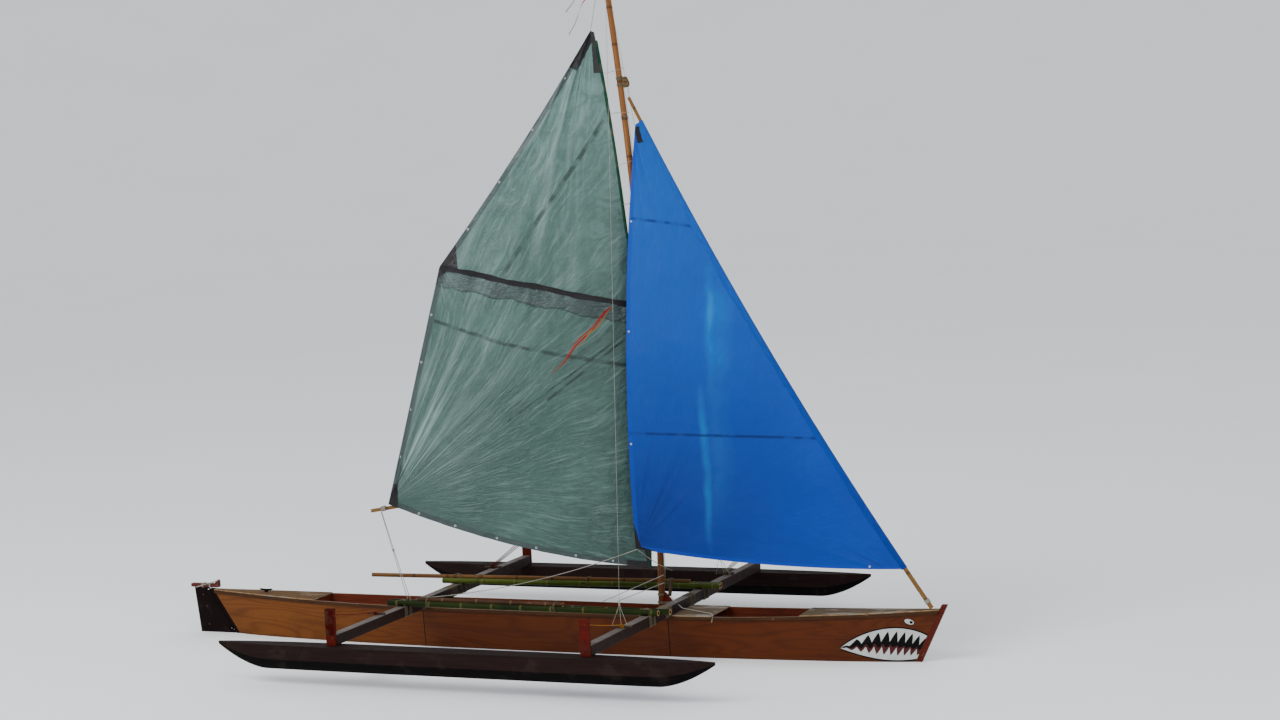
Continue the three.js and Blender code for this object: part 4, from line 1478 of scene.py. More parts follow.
@dataclass
class Mouth:
    """The painted mouth and eye on each side of the bow.

    The lips are two curves from a corner at the left to the stem. At share t of the way, the upper lip is
    the corner's height plus a rise times sin(pi t / 1.25) to the power 0.85, and the lower lip drops by
    sin(pi t / 1.5) to the power 0.9. Each row of teeth is a strip between a lip and a saw line.
    """

    corner: Pair = (2.78, 0.116)
    end_x: float = 3.6
    upper_rise: float = 0.18
    lower_drop: float = 0.1
    upper_teeth: int = 9
    lower_teeth: int = 10
    rim: float = 0.012
    eye_place: Pair = (3.385, 0.354)
    eye_half: Pair = (0.048, 0.026)
    eye_tilt: float = -0.3

    def saw(self, share: Array, count: int, lean: float) -> Array:
        """A saw line of the given number of teeth: 1 at a tooth's root and 0 at its point."""
        phase = (share * count) % 1
        return np.where(phase < lean, 1 - phase / lean, (phase - lean) / (1 - lean))

    def paint(self, side: Side, low: Array, high: Array, share: Array, lift: float) -> Surface:
        """A coat between two lines of heights. Its right end follows the raked stem.

        Args:
            side: the side of the boat.
            low: the lower line's heights.
            high: the upper line's heights.
            share: how far along the mouth each point is, from 0 to 1.
            lift: how far it stands off the surface, in metres.

        Returns:
            The coat.
        """
        z = mixed(low[:, None], high[:, None], np.linspace(0, 1, 4)[None])
        stem = LINES.raked(np.full_like(z, LINES.bow), z) - 0.004
        return LINES.coat(mixed(self.corner[0], np.minimum(self.end_x, stem), share[:, None]), z, side, lift)

    def make(self) -> None:
        """Paints both sides of the bow."""
        share = np.linspace(0.0, 1.0, 420)
        upper = self.corner[1] + self.upper_rise * np.sin(math.pi * share / 1.25) ** 0.85
        lower = self.corner[1] - self.lower_drop * np.sin(math.pi * share / 1.5) ** 0.9
        gape = upper - lower
        top_saw = self.saw(share ** 1.35, self.upper_teeth, 0.45)
        low_saw = self.saw(share ** 1.25 + 0.02, self.lower_teeth, 0.55)
        top_edge = upper - gape * (0.09 + 0.34 * (1 - top_saw) ** 1.25) - 0.002
        low_edge = lower + gape * (0.14 + 0.26 * (1 - low_saw) ** 1.25) + 0.002
        tongue = np.maximum(mixed(top_edge, low_edge, 0.62) - 0.01 * top_saw, low_edge + 0.0032)
        coats = [("lips", BLACK, lower - self.rim, upper + self.rim, 0.0006), ("teeth", WHITE, lower, upper, 0.001),
                 ("gape", BLACK, low_edge, top_edge, 0.0014), ("tongue", DEEP_RED, low_edge + 0.003, tongue, 0.0018)]
        for side in Side:
            for name, finish, low, high, lift in coats:
                build(f"mouth_{name}_{side.label}", self.paint(side, low, high, share, lift), finish)
            self.make_eye(side)

    def make_eye(self, side: Side) -> None:
        """An almond eye: a dark rim, its white and its pupil, each a filled oval on the side.

        Args:
            side: the side of the boat.
        """
        reach, turn = crossed(np.linspace(0.02, 1, 6), np.linspace(0, 2 * math.pi, 49))
        cosine, sine = math.cos(self.eye_tilt), math.sin(self.eye_tilt)
        for name, finish, right, up, size, tall, lift in (("rim", BLACK, 0.0, 0.0, 1.0, 1, 0.0006),
                                                          ("white", WHITE, 0.0, 0.0, 0.86, 1, 0.001),
                                                          ("pupil", BLACK, 0.016, -0.005, 0.3, 1.6, 0.0014)):
            wide = self.eye_half[0] * size * reach * np.cos(turn)
            high = self.eye_half[1] * size * reach * np.sin(turn) * tall
            x = self.eye_place[0] + right + wide * cosine - high * sine
            z = self.eye_place[1] + up + wide * sine + high * cosine
            build(f"eye_{name}_{side.label}", LINES.coat(x, z, side, lift), finish)


@dataclass
class Pole:
    """A bamboo pole: a tapered tube with a ridge and a scar at each node, and hollow ends whose dark-painted cups are
    painted shade inside the tube.

    The radius at length s is the taper times 0.95 plus 0.045 of a bell curve at each node, less 0.03 of one
    just past it. The middle wanders by a few millimetres, and bows towards `toward`.
    """

    start: Spot | Array
    end: Spot | Array
    foot: float
    top: float
    bow: float = 0.0
    toward: Spot | Array = (1, 0, 0)
    spacing: float = 0.33
    phase: float = 0.15
    wander: float = 0.0015
    sides: int = 20

    def surface(self) -> Surface:
        """The pole's skin in slot 0, its cut ends in slot 1 and its hollows, dark as painted shade, in slot 2.

        Returns:
            The pole.
        """
        start, end = np.asarray(self.start, float), np.asarray(self.end, float)
        length = float(np.linalg.norm(end - start))
        along = (end - start) / length
        bend_way = np.asarray(self.toward, float)
        bend_way = unit(bend_way - np.dot(bend_way, along) * along)
        third = np.cross(along, bend_way)
        nodes = np.arange(self.phase, length, self.spacing)
        nodes = nodes + 0.02 * np.sin(nodes * 37.0)
        near = (nodes[:, None] + [-0.02, -0.01, -0.005, 0, 0.005, 0.01, 0.016, 0.026]).ravel()
        even = np.linspace(0, length, max(8, int(length / 0.08)))
        stations = np.unique(np.clip(np.concatenate([even, near]), 0, length))
        gaps = stations[:, None] - nodes[None]
        ring, scar = bell(gaps, 0.008).sum(1), bell(gaps - 0.011, 0.005).sum(1)
        share = stations / length
        radius = mixed(self.foot, self.top, share) * (0.95 + 0.045 * ring - 0.03 * scar)
        sway = self.wander * np.sin(stations * 2.3 + self.phase * 9) * np.sin(math.pi * share)
        middle = start + np.outer(stations, along) + np.outer(arch(share, self.bow) + sway, bend_way)
        outline = circle(self.sides)
        ways = outline[:, :1] * bend_way + outline[:, 1:] * third

        def tube(middles: Array, radii: Array, slot: int) -> Surface:
            """An open tube about a line of middles."""
            points = middles[:, None] + radii[:, None, None] * ways[None]
            return rings(points, lengths_along(middles) + 1e-4 * np.arange(len(middles)), False, slot)

        parts = [tube(middle, radius, 0)]
        for at, inward in ((0, 1.0), (-1, -1.0)):
            parts.append(tube(np.repeat(middle[[at]], 2, 0), radius[at] * np.array([1, 0.7]), 1))
            # painted shade: a short cup, closed by a cap, stands for the dark inside of the hollow pole
            deep = middle[at] + inward * along * 0.035
            cup = tube(np.stack([middle[at], deep]), radius[at] * np.array([0.7, 0.66]), 2)
            cup.faces.append((self.sides + np.arange(self.sides))[None])
            cup.pairs.append(np.zeros((1, self.sides, 2)))
            cup.slots.append(2)
            parts.append(cup)
        for name, values in (("ring", bell(gaps, 0.014).sum(1)), ("scar", scar)):
            for part in parts:
                part.marks[name] = np.zeros(len(part.points))
            parts[0].marks[name] = np.repeat(values, self.sides)
        return joined(parts)


@dataclass
class Outriggers:
    """Beams, floats, posts, their braces, the pole bundles and the lashings."""

    beam_x: float = 1.207
    beam_top: float = 0.4553
    beam_foot: float = 0.3653
    beam_half: float = 0.045
    post_y: float = 1.8793
    post_top: float = 0.6753
    post_thick: float = 0.028
    float_x: float = 0.005
    float_y: float = 1.894
    float_length: float = 4.702
    float_half: float = 0.1
    float_tip: float = 0.009
    float_foot: float = 0.147
    float_top: float = 0.365
    tip_depth: float = 0.025
    chine: float = 0.43

    def section(self) -> Array:
        """A float's section: y from -1 to 1 and height from 0 to 1, with a chine and softened corners.

        Returns:
            The section's points.
        """
        half = np.array([(0.0, 0.0), (0.3, 0.0), (0.46, 0.004), (0.51, 0.02), (0.96, 0.35), (0.99, 0.385),
                         (1.0, 0.42), (1.0, 0.7), (1.0, 0.955), (0.985, 0.985), (0.94, 1.0), (0.5, 1.0)])
        return np.concatenate([half, [(0.0, 1.0)], half[:0:-1] * [-1, 1]])

    def float_body(self, side: Side) -> Surface:
        """A float: its section carried along x, its foot drawn up at both ends and its width closing.

        Args:
            side: the side of the boat.

        Returns:
            The float.
        """
        u = np.concatenate([np.linspace(0, 0.12, 26), np.linspace(0.13, 0.87, 50), np.linspace(0.88, 1, 26)])[:, None]
        t = np.abs(2 * u - 1)
        lift = np.clip((t - 0.79) / 0.21, 0, 1) ** 1.7
        foot = self.float_foot + (self.float_top - self.float_foot - self.tip_depth) * lift
        half = self.float_tip + (self.float_half - self.float_tip) * (1 - t ** 5)
        wide, high = self.section().T
        x = self.float_x + (u - 0.5) * self.float_length
        y = side.value * self.float_y + half * wide
        skin = rings(spots(x, y, foot + (self.float_top - foot) * high), x[:, 0])
        painted = np.tile(np.maximum(high, np.roll(high, -1)) < self.chine, len(x) - 1)
        faces, pairs = skin.faces[0], skin.pairs[0]
        skin.faces[:1], skin.pairs[:1] = [faces[~painted], faces[painted]], [pairs[~painted], pairs[painted]]
        skin.slots[:1] = [0, 1]
        return skin

    def bolts(self) -> Surface:
        """Bolt heads on the outer faces of the posts.

        Returns:
            The heads as one surface.
        """
        heads = []
        for side in Side:
            y = side.value * (self.post_y + self.post_thick)
            places = [(x + dx, y, z) for x in (-self.beam_x, self.beam_x)
                      for dx, z in ((-0.022, 0.395), (0.022, 0.43), (0.0, 0.5), (0.006, 0.63))]
            heads.append(scatter(button(0.0085, 0.005), np.array(places), (0, side.value, 0)))
        return joined(heads)

    def bundle_lashing(self, x: float, y: float, spread: float, height: float) -> Surface:
        """String round a beam and over the poles on it, in crossed turns.

        Each turn climbs the beam's fore face on one side of the bundle, goes over the poles on a slant, and
        comes down the after face on the other side.

        Args:
            x: x of the beam.
            y: y of the bundle's middle.
            spread: half the bundle's width, in metres.
            height: the bundle's height over the beam, in metres.

        Returns:
            The string.
        """
        turns = []
        reach, low = self.beam_half + 0.004, self.beam_foot - 0.003
        for number, offset in enumerate(np.linspace(0.2, 1.0, 11)):
            side = (1 if number % 2 else -1) * spread * offset
            high = self.beam_top + height * (1 - 0.35 * offset ** 3) + 0.003
            corners = np.array([
                (reach, side, low), (reach, side, self.beam_top), (reach * 0.7, side * 0.8, high - 0.012),
                (0, 0, high), (-reach * 0.7, -side * 0.8, high - 0.012), (-reach, -side, self.beam_top),
                (-reach, -side, low), (0, 0, low - 0.001), (reach, side, low)])
            turns.append(rope(line(*(corners + [x, y, 0]), step=0.02), 0.0017, (0.05, 1, 0.08), 5))
        return joined(turns)

    def beam_wraps(self) -> Surface:
        """String round each beam where it crosses a gunwale.

        Returns:
            The strings as one surface.
        """
        height, radius = (self.beam_top + self.beam_foot) / 2, self.beam_half + 0.002
        return joined([rope(helix((x, y, height), (0, 1, 0), (radius, radius), 12, 0.011, 0.22, steps=32),
                            0.0017, (0, 1, 0), 5)
                       for x, y in product((-self.beam_x, self.beam_x), (-0.34, 0.2))])

    def brace(self, place: str, side: Side, foot: Pair, turns: int) -> Surface:
        """Strands from a post's head to a toggle on the beam, with turns round the post if asked.

        Args:
            place: fore or after.
            side: the side of the boat.
            foot: where the toggle is, x and y.
            turns: how many turns go round the post.

        Returns:
            The strands as one surface.
        """
        x = self.beam_x if place == "fore" else -self.beam_x
        offsets, thick = ((-0.03, 0.0, 0.03), 0.0042) if side is Side.PORT else ((-0.006, 0.006), 0.0034)
        head_z, y = self.post_top - 0.045, side.value * (self.post_y - 0.003)
        ropes = [rope(line((x + offset, y, head_z), (foot[0] + offset / 2, foot[1], self.beam_top + 0.03), sag=0.01),
                      thick) for offset in offsets]
        middle = (x, side.value * (self.post_y + self.post_thick / 2), head_z - 0.006)
        radii = (self.post_thick / 2 + 0.0025, self.beam_half + 0.0025)
        if turns:
            wrap = helix(middle, (0, 0, 1), radii, turns, 0.005, 0.22, first=(0, 1, 0), steps=32)
            ropes.append(rope(wrap, 0.0022, (0, 0, 1)))
        toggle = (foot[0] - 0.02, foot[1], self.beam_top + 0.014)
        ropes.append(rope(helix(toggle, (1, 0, 0), (0.0135, 0.0135), 4, 0.01, first=(0, 1, 0), steps=14), 0.0026))
        return joined(ropes)

    def toggles(self, feet: Sequence[Pair]) -> Surface:
        """The short sticks laid along the boat over the beams, which hold the braces and shrouds.

        Args:
            feet: x and y of each.

        Returns:
            The sticks as one surface.
        """
        share, height = np.linspace(0, 1, 12), self.beam_top + 0.014
        return joined([sweep(mixed(np.array([x - 0.085, y - 0.006, height]), np.array([x + 0.085, y + 0.008, height]),
                                   share[:, None]), circle(9, 0.0105), 1 + 0.12 * np.sin(share * 19 + number))
                       for number, (x, y) in enumerate(feet)])

    def make(self) -> None:
        """Builds the outriggers."""
        for side in Side:
            build(f"float_{side.label}_body", self.float_body(side), [FLOAT_PAINT, BOTTOM_PAINT],
                  f"float_{side.label}", crease=24)
        for place in ("aft", "fore"):
            dress_node(f"beam_{place}", BROWN, 0.006)
            for side in Side:
                dress_node(f"post_{side.label}_{place}", RED, 0.0035)
        build("post_bolts", self.bolts(), BOLT)
        self.make_poles()
        braces = [("aft", Side.STARBOARD, (-1.245, -1.039), RED_CORD, 2),
                  ("fore", Side.STARBOARD, (1.22, -1.185), YELLOW_CORD, 0),
                  ("aft", Side.PORT, (-1.218, 1.185), DARK_RED_CORD, 2),
                  ("fore", Side.PORT, (1.18, 1.205), STRING, 2)]
        build("toggles", self.toggles([foot for _, _, foot, _, _ in braces]), STICK)
        for place, side, foot, cord, turns in braces:
            build(f"brace_{side.label}_{place}", self.brace(place, side, foot, turns), cord)
        self.make_post_wrap()

    def make_post_wrap(self) -> None:
        """The red cord wound lengthwise over the head of the near after post, down to the beam."""
        radius, turns = 0.0055, 6
        low, high = self.beam_top + radius + 0.002, self.post_top + radius
        middle = (-self.beam_x - 0.04, -(self.post_y + self.post_thick / 2), (low + high) / 2)
        radii = ((high - low) / 2, self.post_thick / 2 + radius)
        path = helix(middle, (1, 0, 0), radii, turns, 0.08 / turns, 0.2, steps=48)
        build("post_wrap", rope(path, radius, sides=7), DARK_RED_CORD)

    def make_poles(self) -> None:
        """The six poles in their two bundles, and the lashings over the beams."""
        rows = [
            ("pole_starboard_outer", (-1.343, -0.64), (1.326, -0.668), 0.027, 0.027, DARK_CANE),
            ("pole_starboard_inner", (-1.33, -0.578), (1.411, -0.606), 0.027, 0.027, DARK_CANE),
            ("pole_starboard_top", (-1.05, -0.612), (0.4, -0.627), 0.021, 0.0622, BROWN_CANE),
            ("pole_port_outer", (-1.34, 0.48), (1.388, 0.61), 0.027, 0.027, GREEN_CANE),
            ("pole_port_inner", (-1.35, 0.418), (1.401, 0.548), 0.027, 0.027, GREEN_CANE),
            ("pole_port_top", (-2.104, 0.413), (1.1, 0.565), 0.02, 0.0618, DRY_CANE),
        ]
        for number, (name, aft, fore, radius, over, finish) in enumerate(rows):
            z = self.beam_top + over + GAP
            pole = Pole((*aft, z), (*fore, z), radius, radius * 0.97, toward=(0, 0, 1), wander=0.001,
                        spacing=0.31 + 0.02 * (number % 3), phase=0.11 + 0.07 * number)
            build(f"{name}_cane", pole.surface(), [finish, CUT_CANE, HOLLOW_SHADE], name)
        crossings = [(-self.beam_x, -0.611, 0.06), (self.beam_x, -0.635, 0.06), (-self.beam_x, 0.455, 0.092),
                     (self.beam_x, 0.568, 0.06)]
        lashings = [self.bundle_lashing(x, y, 0.066, height) for x, y, height in crossings]
        build("bundle_lashings", joined(lashings), STRING)
        build("beam_wraps", self.beam_wraps(), STRING)
        bands = [rope(helix((x, y, self.beam_top + 0.04), (1, 0.03, 0), (0.045, 0.06), 3, 0.007, 0.8, steps=26),
                      0.0015, sides=5)
                 for x, y in ((-0.95, -0.613), (0.32, -0.627), (-1.0, 0.462), (0.1, 0.515), (0.9, 0.553))]
        build("bundle_bands", joined(bands), STRING)


@dataclass
class Mast:
    """The bent bamboo mast, its shrouds, knee, block and running lines."""

    foot: Spot = (1.05, 0.0, -0.072)
    head: Spot = (0.815, 0.0, 6.1)
    foot_radius: float = 0.0325
    top_radius: float = 0.027
    bend: float = 0.12
    shroud_foot: Pair = (1.18, 1.15)
    shroud_top: float = 5.8
    beam_top: float = 0.4553

    def share(self, z: float) -> float:
        """The part of the way up the mast."""
        return (z - self.foot[2]) / (self.head[2] - self.foot[2])

    def beside(self, z: float, x: float = 0.0, y: float = 0.0) -> Array:
        """A place at height z, x and y away from the middle of the mast."""
        share = self.share(z)
        return np.array([mixed(self.foot[0], self.head[0], share) + arch(share, self.bend) + x, y, z])

    def make_block(self) -> None:
        """The halyard's wooden block: a rounded plate with a slanted nose, and the heads of its pin."""
        low, high = (np.array(corner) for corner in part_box("halyard_block"))
        shares = np.array([(0.02, 0.1), (0.02, 0.9), (0.35, 1), (0.62, 0.97), (1, 0.42), (0.95, 0.12), (0.65, 0),
                           (0.2, 0)])
        outline = (0.5 - shares) * [high[0] - low[0], low[2] - high[2]]
        middle, half = (low + high) / 2, (high[1] - low[1]) / 2
        path = middle + np.outer([-half, -0.8 * half, 0.8 * half, half], [0, 1, 0])
        build("block_cheeks", sweep(path, outline, [0.9, 1, 1, 0.9]), BLOCK_WOOD, "halyard_block")
        pins = scatter(button(0.009, 0.004, 14), middle + np.outer([-half, half], [0, 1, 0]), [[0, -1, 0], [0, 1, 0]])
        build("block_pins", pins, BOLT)

    def wraps(self) -> Surface:
        """String round the mast at its knee, block, shrouds and head.

        Returns:
            The strings as one surface.
        """
        found = []
        for z, turns, pitch in ((0.43, 3, 0.006), (0.5, 3, 0.006), (0.6, 2, 0.007), (5.0, 4, 0.006), (5.055, 5, 0.006),
                                (5.76, 7, 0.007), (4.72, 3, 0.007), (6.04, 5, 0.007)):
            radius = mixed(self.foot_radius, self.top_radius, self.share(z)) + 0.0025
            wide, aside = (0.03, 0.028) if z < 0.5 else (0.0, 0.0)
            path = helix(self.beside(z, aside), (-0.04, 0, 1), (radius + wide, radius), turns, pitch, first=(1, 0, 0),
                         steps=24)
            found.append(rope(path, 0.0024, (0, 0, 1), 5))
        return joined(found)

    def shroud(self, side: Side) -> Surface:
        """A shroud: one line from the mast that splits into three legs just over the beam.

        Args:
            side: the side of the boat.

        Returns:
            The line and its legs.
        """
        head = self.beside(self.shroud_top, 0, side.value * (self.top_radius + 0.005))
        foot = np.array([self.shroud_foot[0], side.value * self.shroud_foot[1], self.beam_top + 0.005])
        split, way = mixed(foot, head, 0.034), unit(head - foot)
        ropes = [rope(line(split, head, step=0.25), 0.0016, sides=8)]
        ropes += [rope(line(split, foot + [x, y, 0.012], step=0.03), 0.002, (1, 0.3, 0))
                  for x, y in ((-0.07, 0.0), (0.0, 0.03), (0.075, -0.01))]
        knot = helix(split - (head - split) * 0.002, way, (0.006, 0.006), 5, 0.006, first=(1, 0, 0), steps=12)
        return joined([*ropes, rope(knot, 0.003, way)])

    def streamer(self, path: Array, width: float) -> Surface:
        """A thin ribbon on a path, twisting once or twice as it goes.

        Args:
            path: the points of its middle line, n by 3.
            width: the width, in metres.

        Returns:
            The ribbon.
        """
        ahead = unit(np.gradient(path, axis=0))
        across = unit(np.cross([0, 0, 1.0], ahead))
        turn = np.linspace(0.9, 3.6, len(path))[:, None]
        way = across * np.cos(turn) + np.cross(ahead, across) * np.sin(turn)
        middle = path[:, None] + np.linspace(-0.5, 0.5, 4)[None, :, None] * width * way[:, None]
        lift = np.cross(ahead, way)[:, None] * 0.0004
        return slab(middle + lift, middle - lift, spots(*crossed(lengths_along(path), np.linspace(0, width, 4))))

    def make_streamers(self) -> None:
        """The faded ribbons on the near shroud and at the masthead."""
        shroud, head = "shroud_line_starboard", "mast_cane"
        rows = [
            ("shroud_long", shroud, (1.0, -0.6, 3.13), (0.67, -1.155, 2.6), 0.011, 0.0, RIBBON),
            ("shroud_split", shroud, (1.0, -0.605, 3.13), (0.674, -1.148, 2.608), 0.01, 0.06, RIBBON),
            ("shroud_short", shroud, (1.0, -0.6, 3.12), (0.8, -0.98, 2.8), 0.01, -0.06, PALE_RIBBON),
            ("head_long", head, (0.80, -0.02, 5.95), (0.49, -0.07, 5.46), 0.012, 0.1, RIBBON),
            ("head_short", head, (0.79, 0.02, 5.99), (0.42, 0.04, 5.66), 0.01, 0.14, RIBBON),
        ]
        for name, support, start, end, width, sag, finish in rows:
            share = np.linspace(0, 1, 60)
            path = mixed(np.array(start), np.array(end), share[:, None])
            path[:, 2] += arch(share, sag * 0.4) + 0.01 * np.sin(share * 14)
            path[:, 1] += 0.012 * np.sin(share * 9)
            piece = build(f"streamer_{name}", self.streamer(path, width), finish)
            float(lengths_along(path)[-1])

    def make_lines(self) -> None:
        """The halyards' falls along the mast, and the lines at its foot."""
        front = [self.beside(z, 0.036, 0.006) for z in (5.0, 4.0, 3.0, 2.0, 1.2, 0.66)]
        back = [self.beside(z, -0.02, 0.033) for z in (6.03, 5.0, 4.0, 3.0, 2.0, 1.2, 0.62)]
        falls = [rope(line(*path, step=0.2), 0.0019, (0, 1, 0)) for path in (front, back)]
        tip = self.beside(5.0, 0.075) - [0, 0, 0.01]
        falls.append(rope(line(tip, (1.0, 0.0, 4.9), step=0.03), 0.0024, (0, 1, 0)))
        build("halyard_falls", joined(falls), WHITE_CORD)
        tail = line((1.16, -0.02, 0.49), (1.3, -0.09, 0.41), (1.62, -0.19, 0.392), (1.66, -0.262, 0.385),
                    (1.65, -0.27, 0.33), step=0.03)
        guys = [line((1.11, -0.03, 0.69), (0.72, -0.5, 0.53)), line((1.11, -0.035, 0.62), (0.85, -0.48, 0.53))]
        stays = [rope(path, 0.0032, (0.1, 0.2, 1)) for path in (tail, *guys)]
        build("mast_foot_lines", joined(stays), WHITE_CORD)

    def make(self) -> None:
        """Builds the mast and what is tied to it."""
        cane = Pole(self.foot, self.head, self.foot_radius, self.top_radius, self.bend, spacing=0.331, phase=0.14,
                    wander=0.0, sides=24)
        build("mast_cane", cane.surface(), [MAST_CANE, CUT_CANE, HOLLOW_SHADE], "mast")
        dress_node("mast_step", WOOD, 0.003)
        dress_node("mast_knee", RED, 0.003)
        self.make_block()
        build("mast_lashings", self.wraps(), STRING)
        for side in Side:
            build(f"shroud_line_{side.label}", self.shroud(side), WHITE_CORD, f"shroud_{side.label}")
        peg = line((1.147, -0.004, 0.5), (1.176, 0.0, 0.655), step=0.03)
        build("belaying_peg", rope(peg, 0.017, (0, 1, 0), 9), STICK)
        self.make_lines()
        self.make_streamers()


@dataclass
class Swing:
    """The frame of a sail: its axis leans aft, and its x points aft and to starboard of the boat's middle."""

    origin: Spot
    lean: float
    angle: float

    def basis(self) -> Array:
        """The directions of the sail's x, of its lee side and of its axis, as rows.

        Returns:
            Three rows of three.
        """
        c, s = math.cos(self.angle), math.sin(self.angle)
        lean_c, lean_s = math.cos(self.lean), math.sin(self.lean)
        return np.array([(-c * lean_c, -s, -c * lean_s), (s * lean_c, -c, s * lean_s), (-lean_s, 0, lean_c)])

    def world(self, local: Spot | Array) -> Array:
        """Points of the sail's frame in the boat's."""
        return np.asarray(self.origin) + np.asarray(local, float) @ self.basis()


@dataclass
class Sail:
    """A sail's cloth, in its own plane: x is the distance from the axis and z the distance up it.

    Rows run from the foot, w = 0, to the head, w = 1, and u runs from the fore edge to the after edge.
    """

    swing: Swing
    belly: float
    foot_round: float
    rows: int
    columns: int
    thickness: float = 0.0007
    fold_mark: float = 1.0

    def fore(self, w: Array) -> tuple[Array, Array]:
        """x and z of the fore edge."""
        raise NotImplementedError

    def after(self, w: Array) -> tuple[Array, Array]:
        """x and z of the after edge."""
        raise NotImplementedError

    def folds(self, x: Array, z: Array) -> Array:
        """How strongly the corners fold the cloth, from 0 to about 1."""
        raise NotImplementedError

    def ripple(self, x: Array, z: Array) -> Array:
        """How far folds lift the cloth to leeward."""
        raise NotImplementedError

    def below(self, x: Array, z: Array) -> Array:
        """How far a place is below a batten, and -1 where there is none."""
        return np.full_like(x, -1.0)

    def spot(self, u: Array, w: Array) -> tuple[Array, Array, Array]:
        """x, depth and z of the smooth cloth: straight rows, bellied by 4.4 u (1 - u)^1.2, rounded foot.

        Args:
            u: the share of a row, from luff to leech.
            w: the share of the height, from foot to head.

        Returns:
            x, depth and z, in metres.
        """
        x0, z0 = self.fore(w)
        x1, z1 = self.after(w)
        depth = self.belly * (x1 - x0) * 4.4 * u * (1 - u) ** 1.2
        low = np.maximum(0, 1 - 3 * w) ** 2
        return mixed(x0, x1, u), depth, mixed(z0, z1, u) - low * arch(u, self.foot_round)

    def locate(self, x: Array, z: Array) -> tuple[Array, Array]:
        """u and w of a place in the plane, found by repetition.

        Args:
            x: x in the sail's plane, in metres.
            z: height in the sail's plane, in metres.

        Returns:
            u and w.
        """
        w = np.clip((z - 0.4) / 4.6, 0, 1)
        u = np.full_like(w, 0.5)
        for _ in range(80):
            (x0, _), (x1, _) = self.fore(w), self.after(w)
            u = np.clip((x - x0) / np.maximum(x1 - x0, 1e-3), 0, 1)
            w = np.clip(w + (z - self.spot(u, w)[2]) / 5.5, 0, 1)
        return u, w

    def cloth(self, x: Array, z: Array, lift: float = 0.0) -> Array:
        """Points of the boat's frame on the cloth at places in the plane, lift to leeward of its middle."""
        depth = self.spot(*self.locate(x, z))[1] + self.ripple(x, z) + lift
        return self.swing.world(spots(x, depth, z))

    def sheet(self) -> Surface:
        """The whole cloth, with the marks edge, fold and below for its finish.

        Returns:
            The cloth.
        """
        u, w = crossed(np.linspace(0, 1, self.columns), np.linspace(0, 1, self.rows))
        x, depth, z = self.spot(u, w)
        depth = depth + self.ripple(x, z)
        outer, inner = (self.swing.world(spots(x, depth + way, z)) for way in (self.thickness / 2, -self.thickness / 2))
        cloth = slab(outer, inner, spots(x, z))
        edge = np.minimum(self.after(w)[0] - x, z - self.spot(u, np.zeros_like(w))[2])
        marks = {"edge": edge, "fold": np.clip(self.folds(x, z), 0, 1) * self.fold_mark, "below": self.below(x, z)}
        cloth.marks = {name: np.tile(np.ravel(value), 2) for name, value in marks.items()}
        return cloth

    def band(self, path: Sequence[Pair], width: float, lifts: Pair, wobble: float) -> Surface:
        """A strip along a path in the plane, between two lifts from the cloth, its width wobbling by a share.

        Args:
            path: places in the plane.
            width: the width, in metres.
            lifts: how far its outer and inner faces stand off the cloth.
            wobble: the share.

        Returns:
            The strip.
        """
        middle = line(*[(x, 0.0, z) for x, z in path], step=0.03)
        ahead = unit(np.gradient(middle, axis=0))
        along = lengths_along(middle)
        half = width / 2 * (1 + wobble * np.sin(along * 23) * np.sin(along * 9.1))
        across = spots(-ahead[:, 2], ahead[:, 0])[:, None]
        flat = middle[:, None, ::2] + np.linspace(-1, 1, 5)[None, :, None] * half[:, None, None] * across
        outer, inner = (self.cloth(flat[..., 0], flat[..., 1], lift) for lift in lifts)
        return slab(outer, inner, flat)

    def grommets(self, radius: float, leech: Sequence[float], leech_off: Pair, foot: Sequence[float],
                 foot_off: Pair) -> Surface:
        """Grommets at heights w of the leech and widths u of the foot, each set off from the edge.

        Args:
            radius: a ring's radius, in metres.
            leech: the heights w.
            leech_off: the step from the leech, in metres.
            foot: the widths u.
            foot_off: the step from the foot, in metres.

        Returns:
            The rings as one surface.
        """
        along = np.array(foot)
        x, _, z = self.spot(along, np.zeros_like(along))
        flat = np.concatenate([spots(*self.after(np.array(leech))) + leech_off, spots(x, z) + foot_off])
        return scatter(torus(radius, 0.0055), self.cloth(*flat.T), self.swing.basis()[1])

    def fan(self, x: Array, z: Array, corner: Pair, reach: float, counts: Sequence[float], aim: float,
            opening: float) -> Array:
        """Folds that fan out from a corner, from 0 to 1, strongest towards the angle aim, by a bell curve.

        At distance r and angle a from the corner they are 1.5 r / (r + 0.1) times exp(-r / reach') times the
        positive part of the mean of cosines of each count times a'. The angle a' is a, swayed a little with
        r, and reach' is reach, varied with the angle.

        Args:
            x: x in the sail's plane, in metres.
            z: height in the sail's plane, in metres.
            corner: the corner.
            reach: reach, in metres.
            counts: the counts of folds.
            aim: the strongest direction, in radians.
            opening: the bell's width, in radians.

        Returns:
            The height of the folds, for each point.
        """
        dx, dz = x - corner[0], z - corner[1]
        r, a = np.hypot(dx, dz), np.arctan2(dz, dx)
        swayed = a + 0.03 * np.sin(4 * r + 2 * a)
        waves = sum(np.cos(count * swayed + 1.7 * number) for number, count in enumerate(counts)) / len(counts)
        span = reach * (0.6 + 0.4 * np.cos(7 * a + 1))
        return 1.5 * r / (r + 0.1) * np.exp(-r / span) * np.maximum(waves, 0) * bell(a - aim, opening)

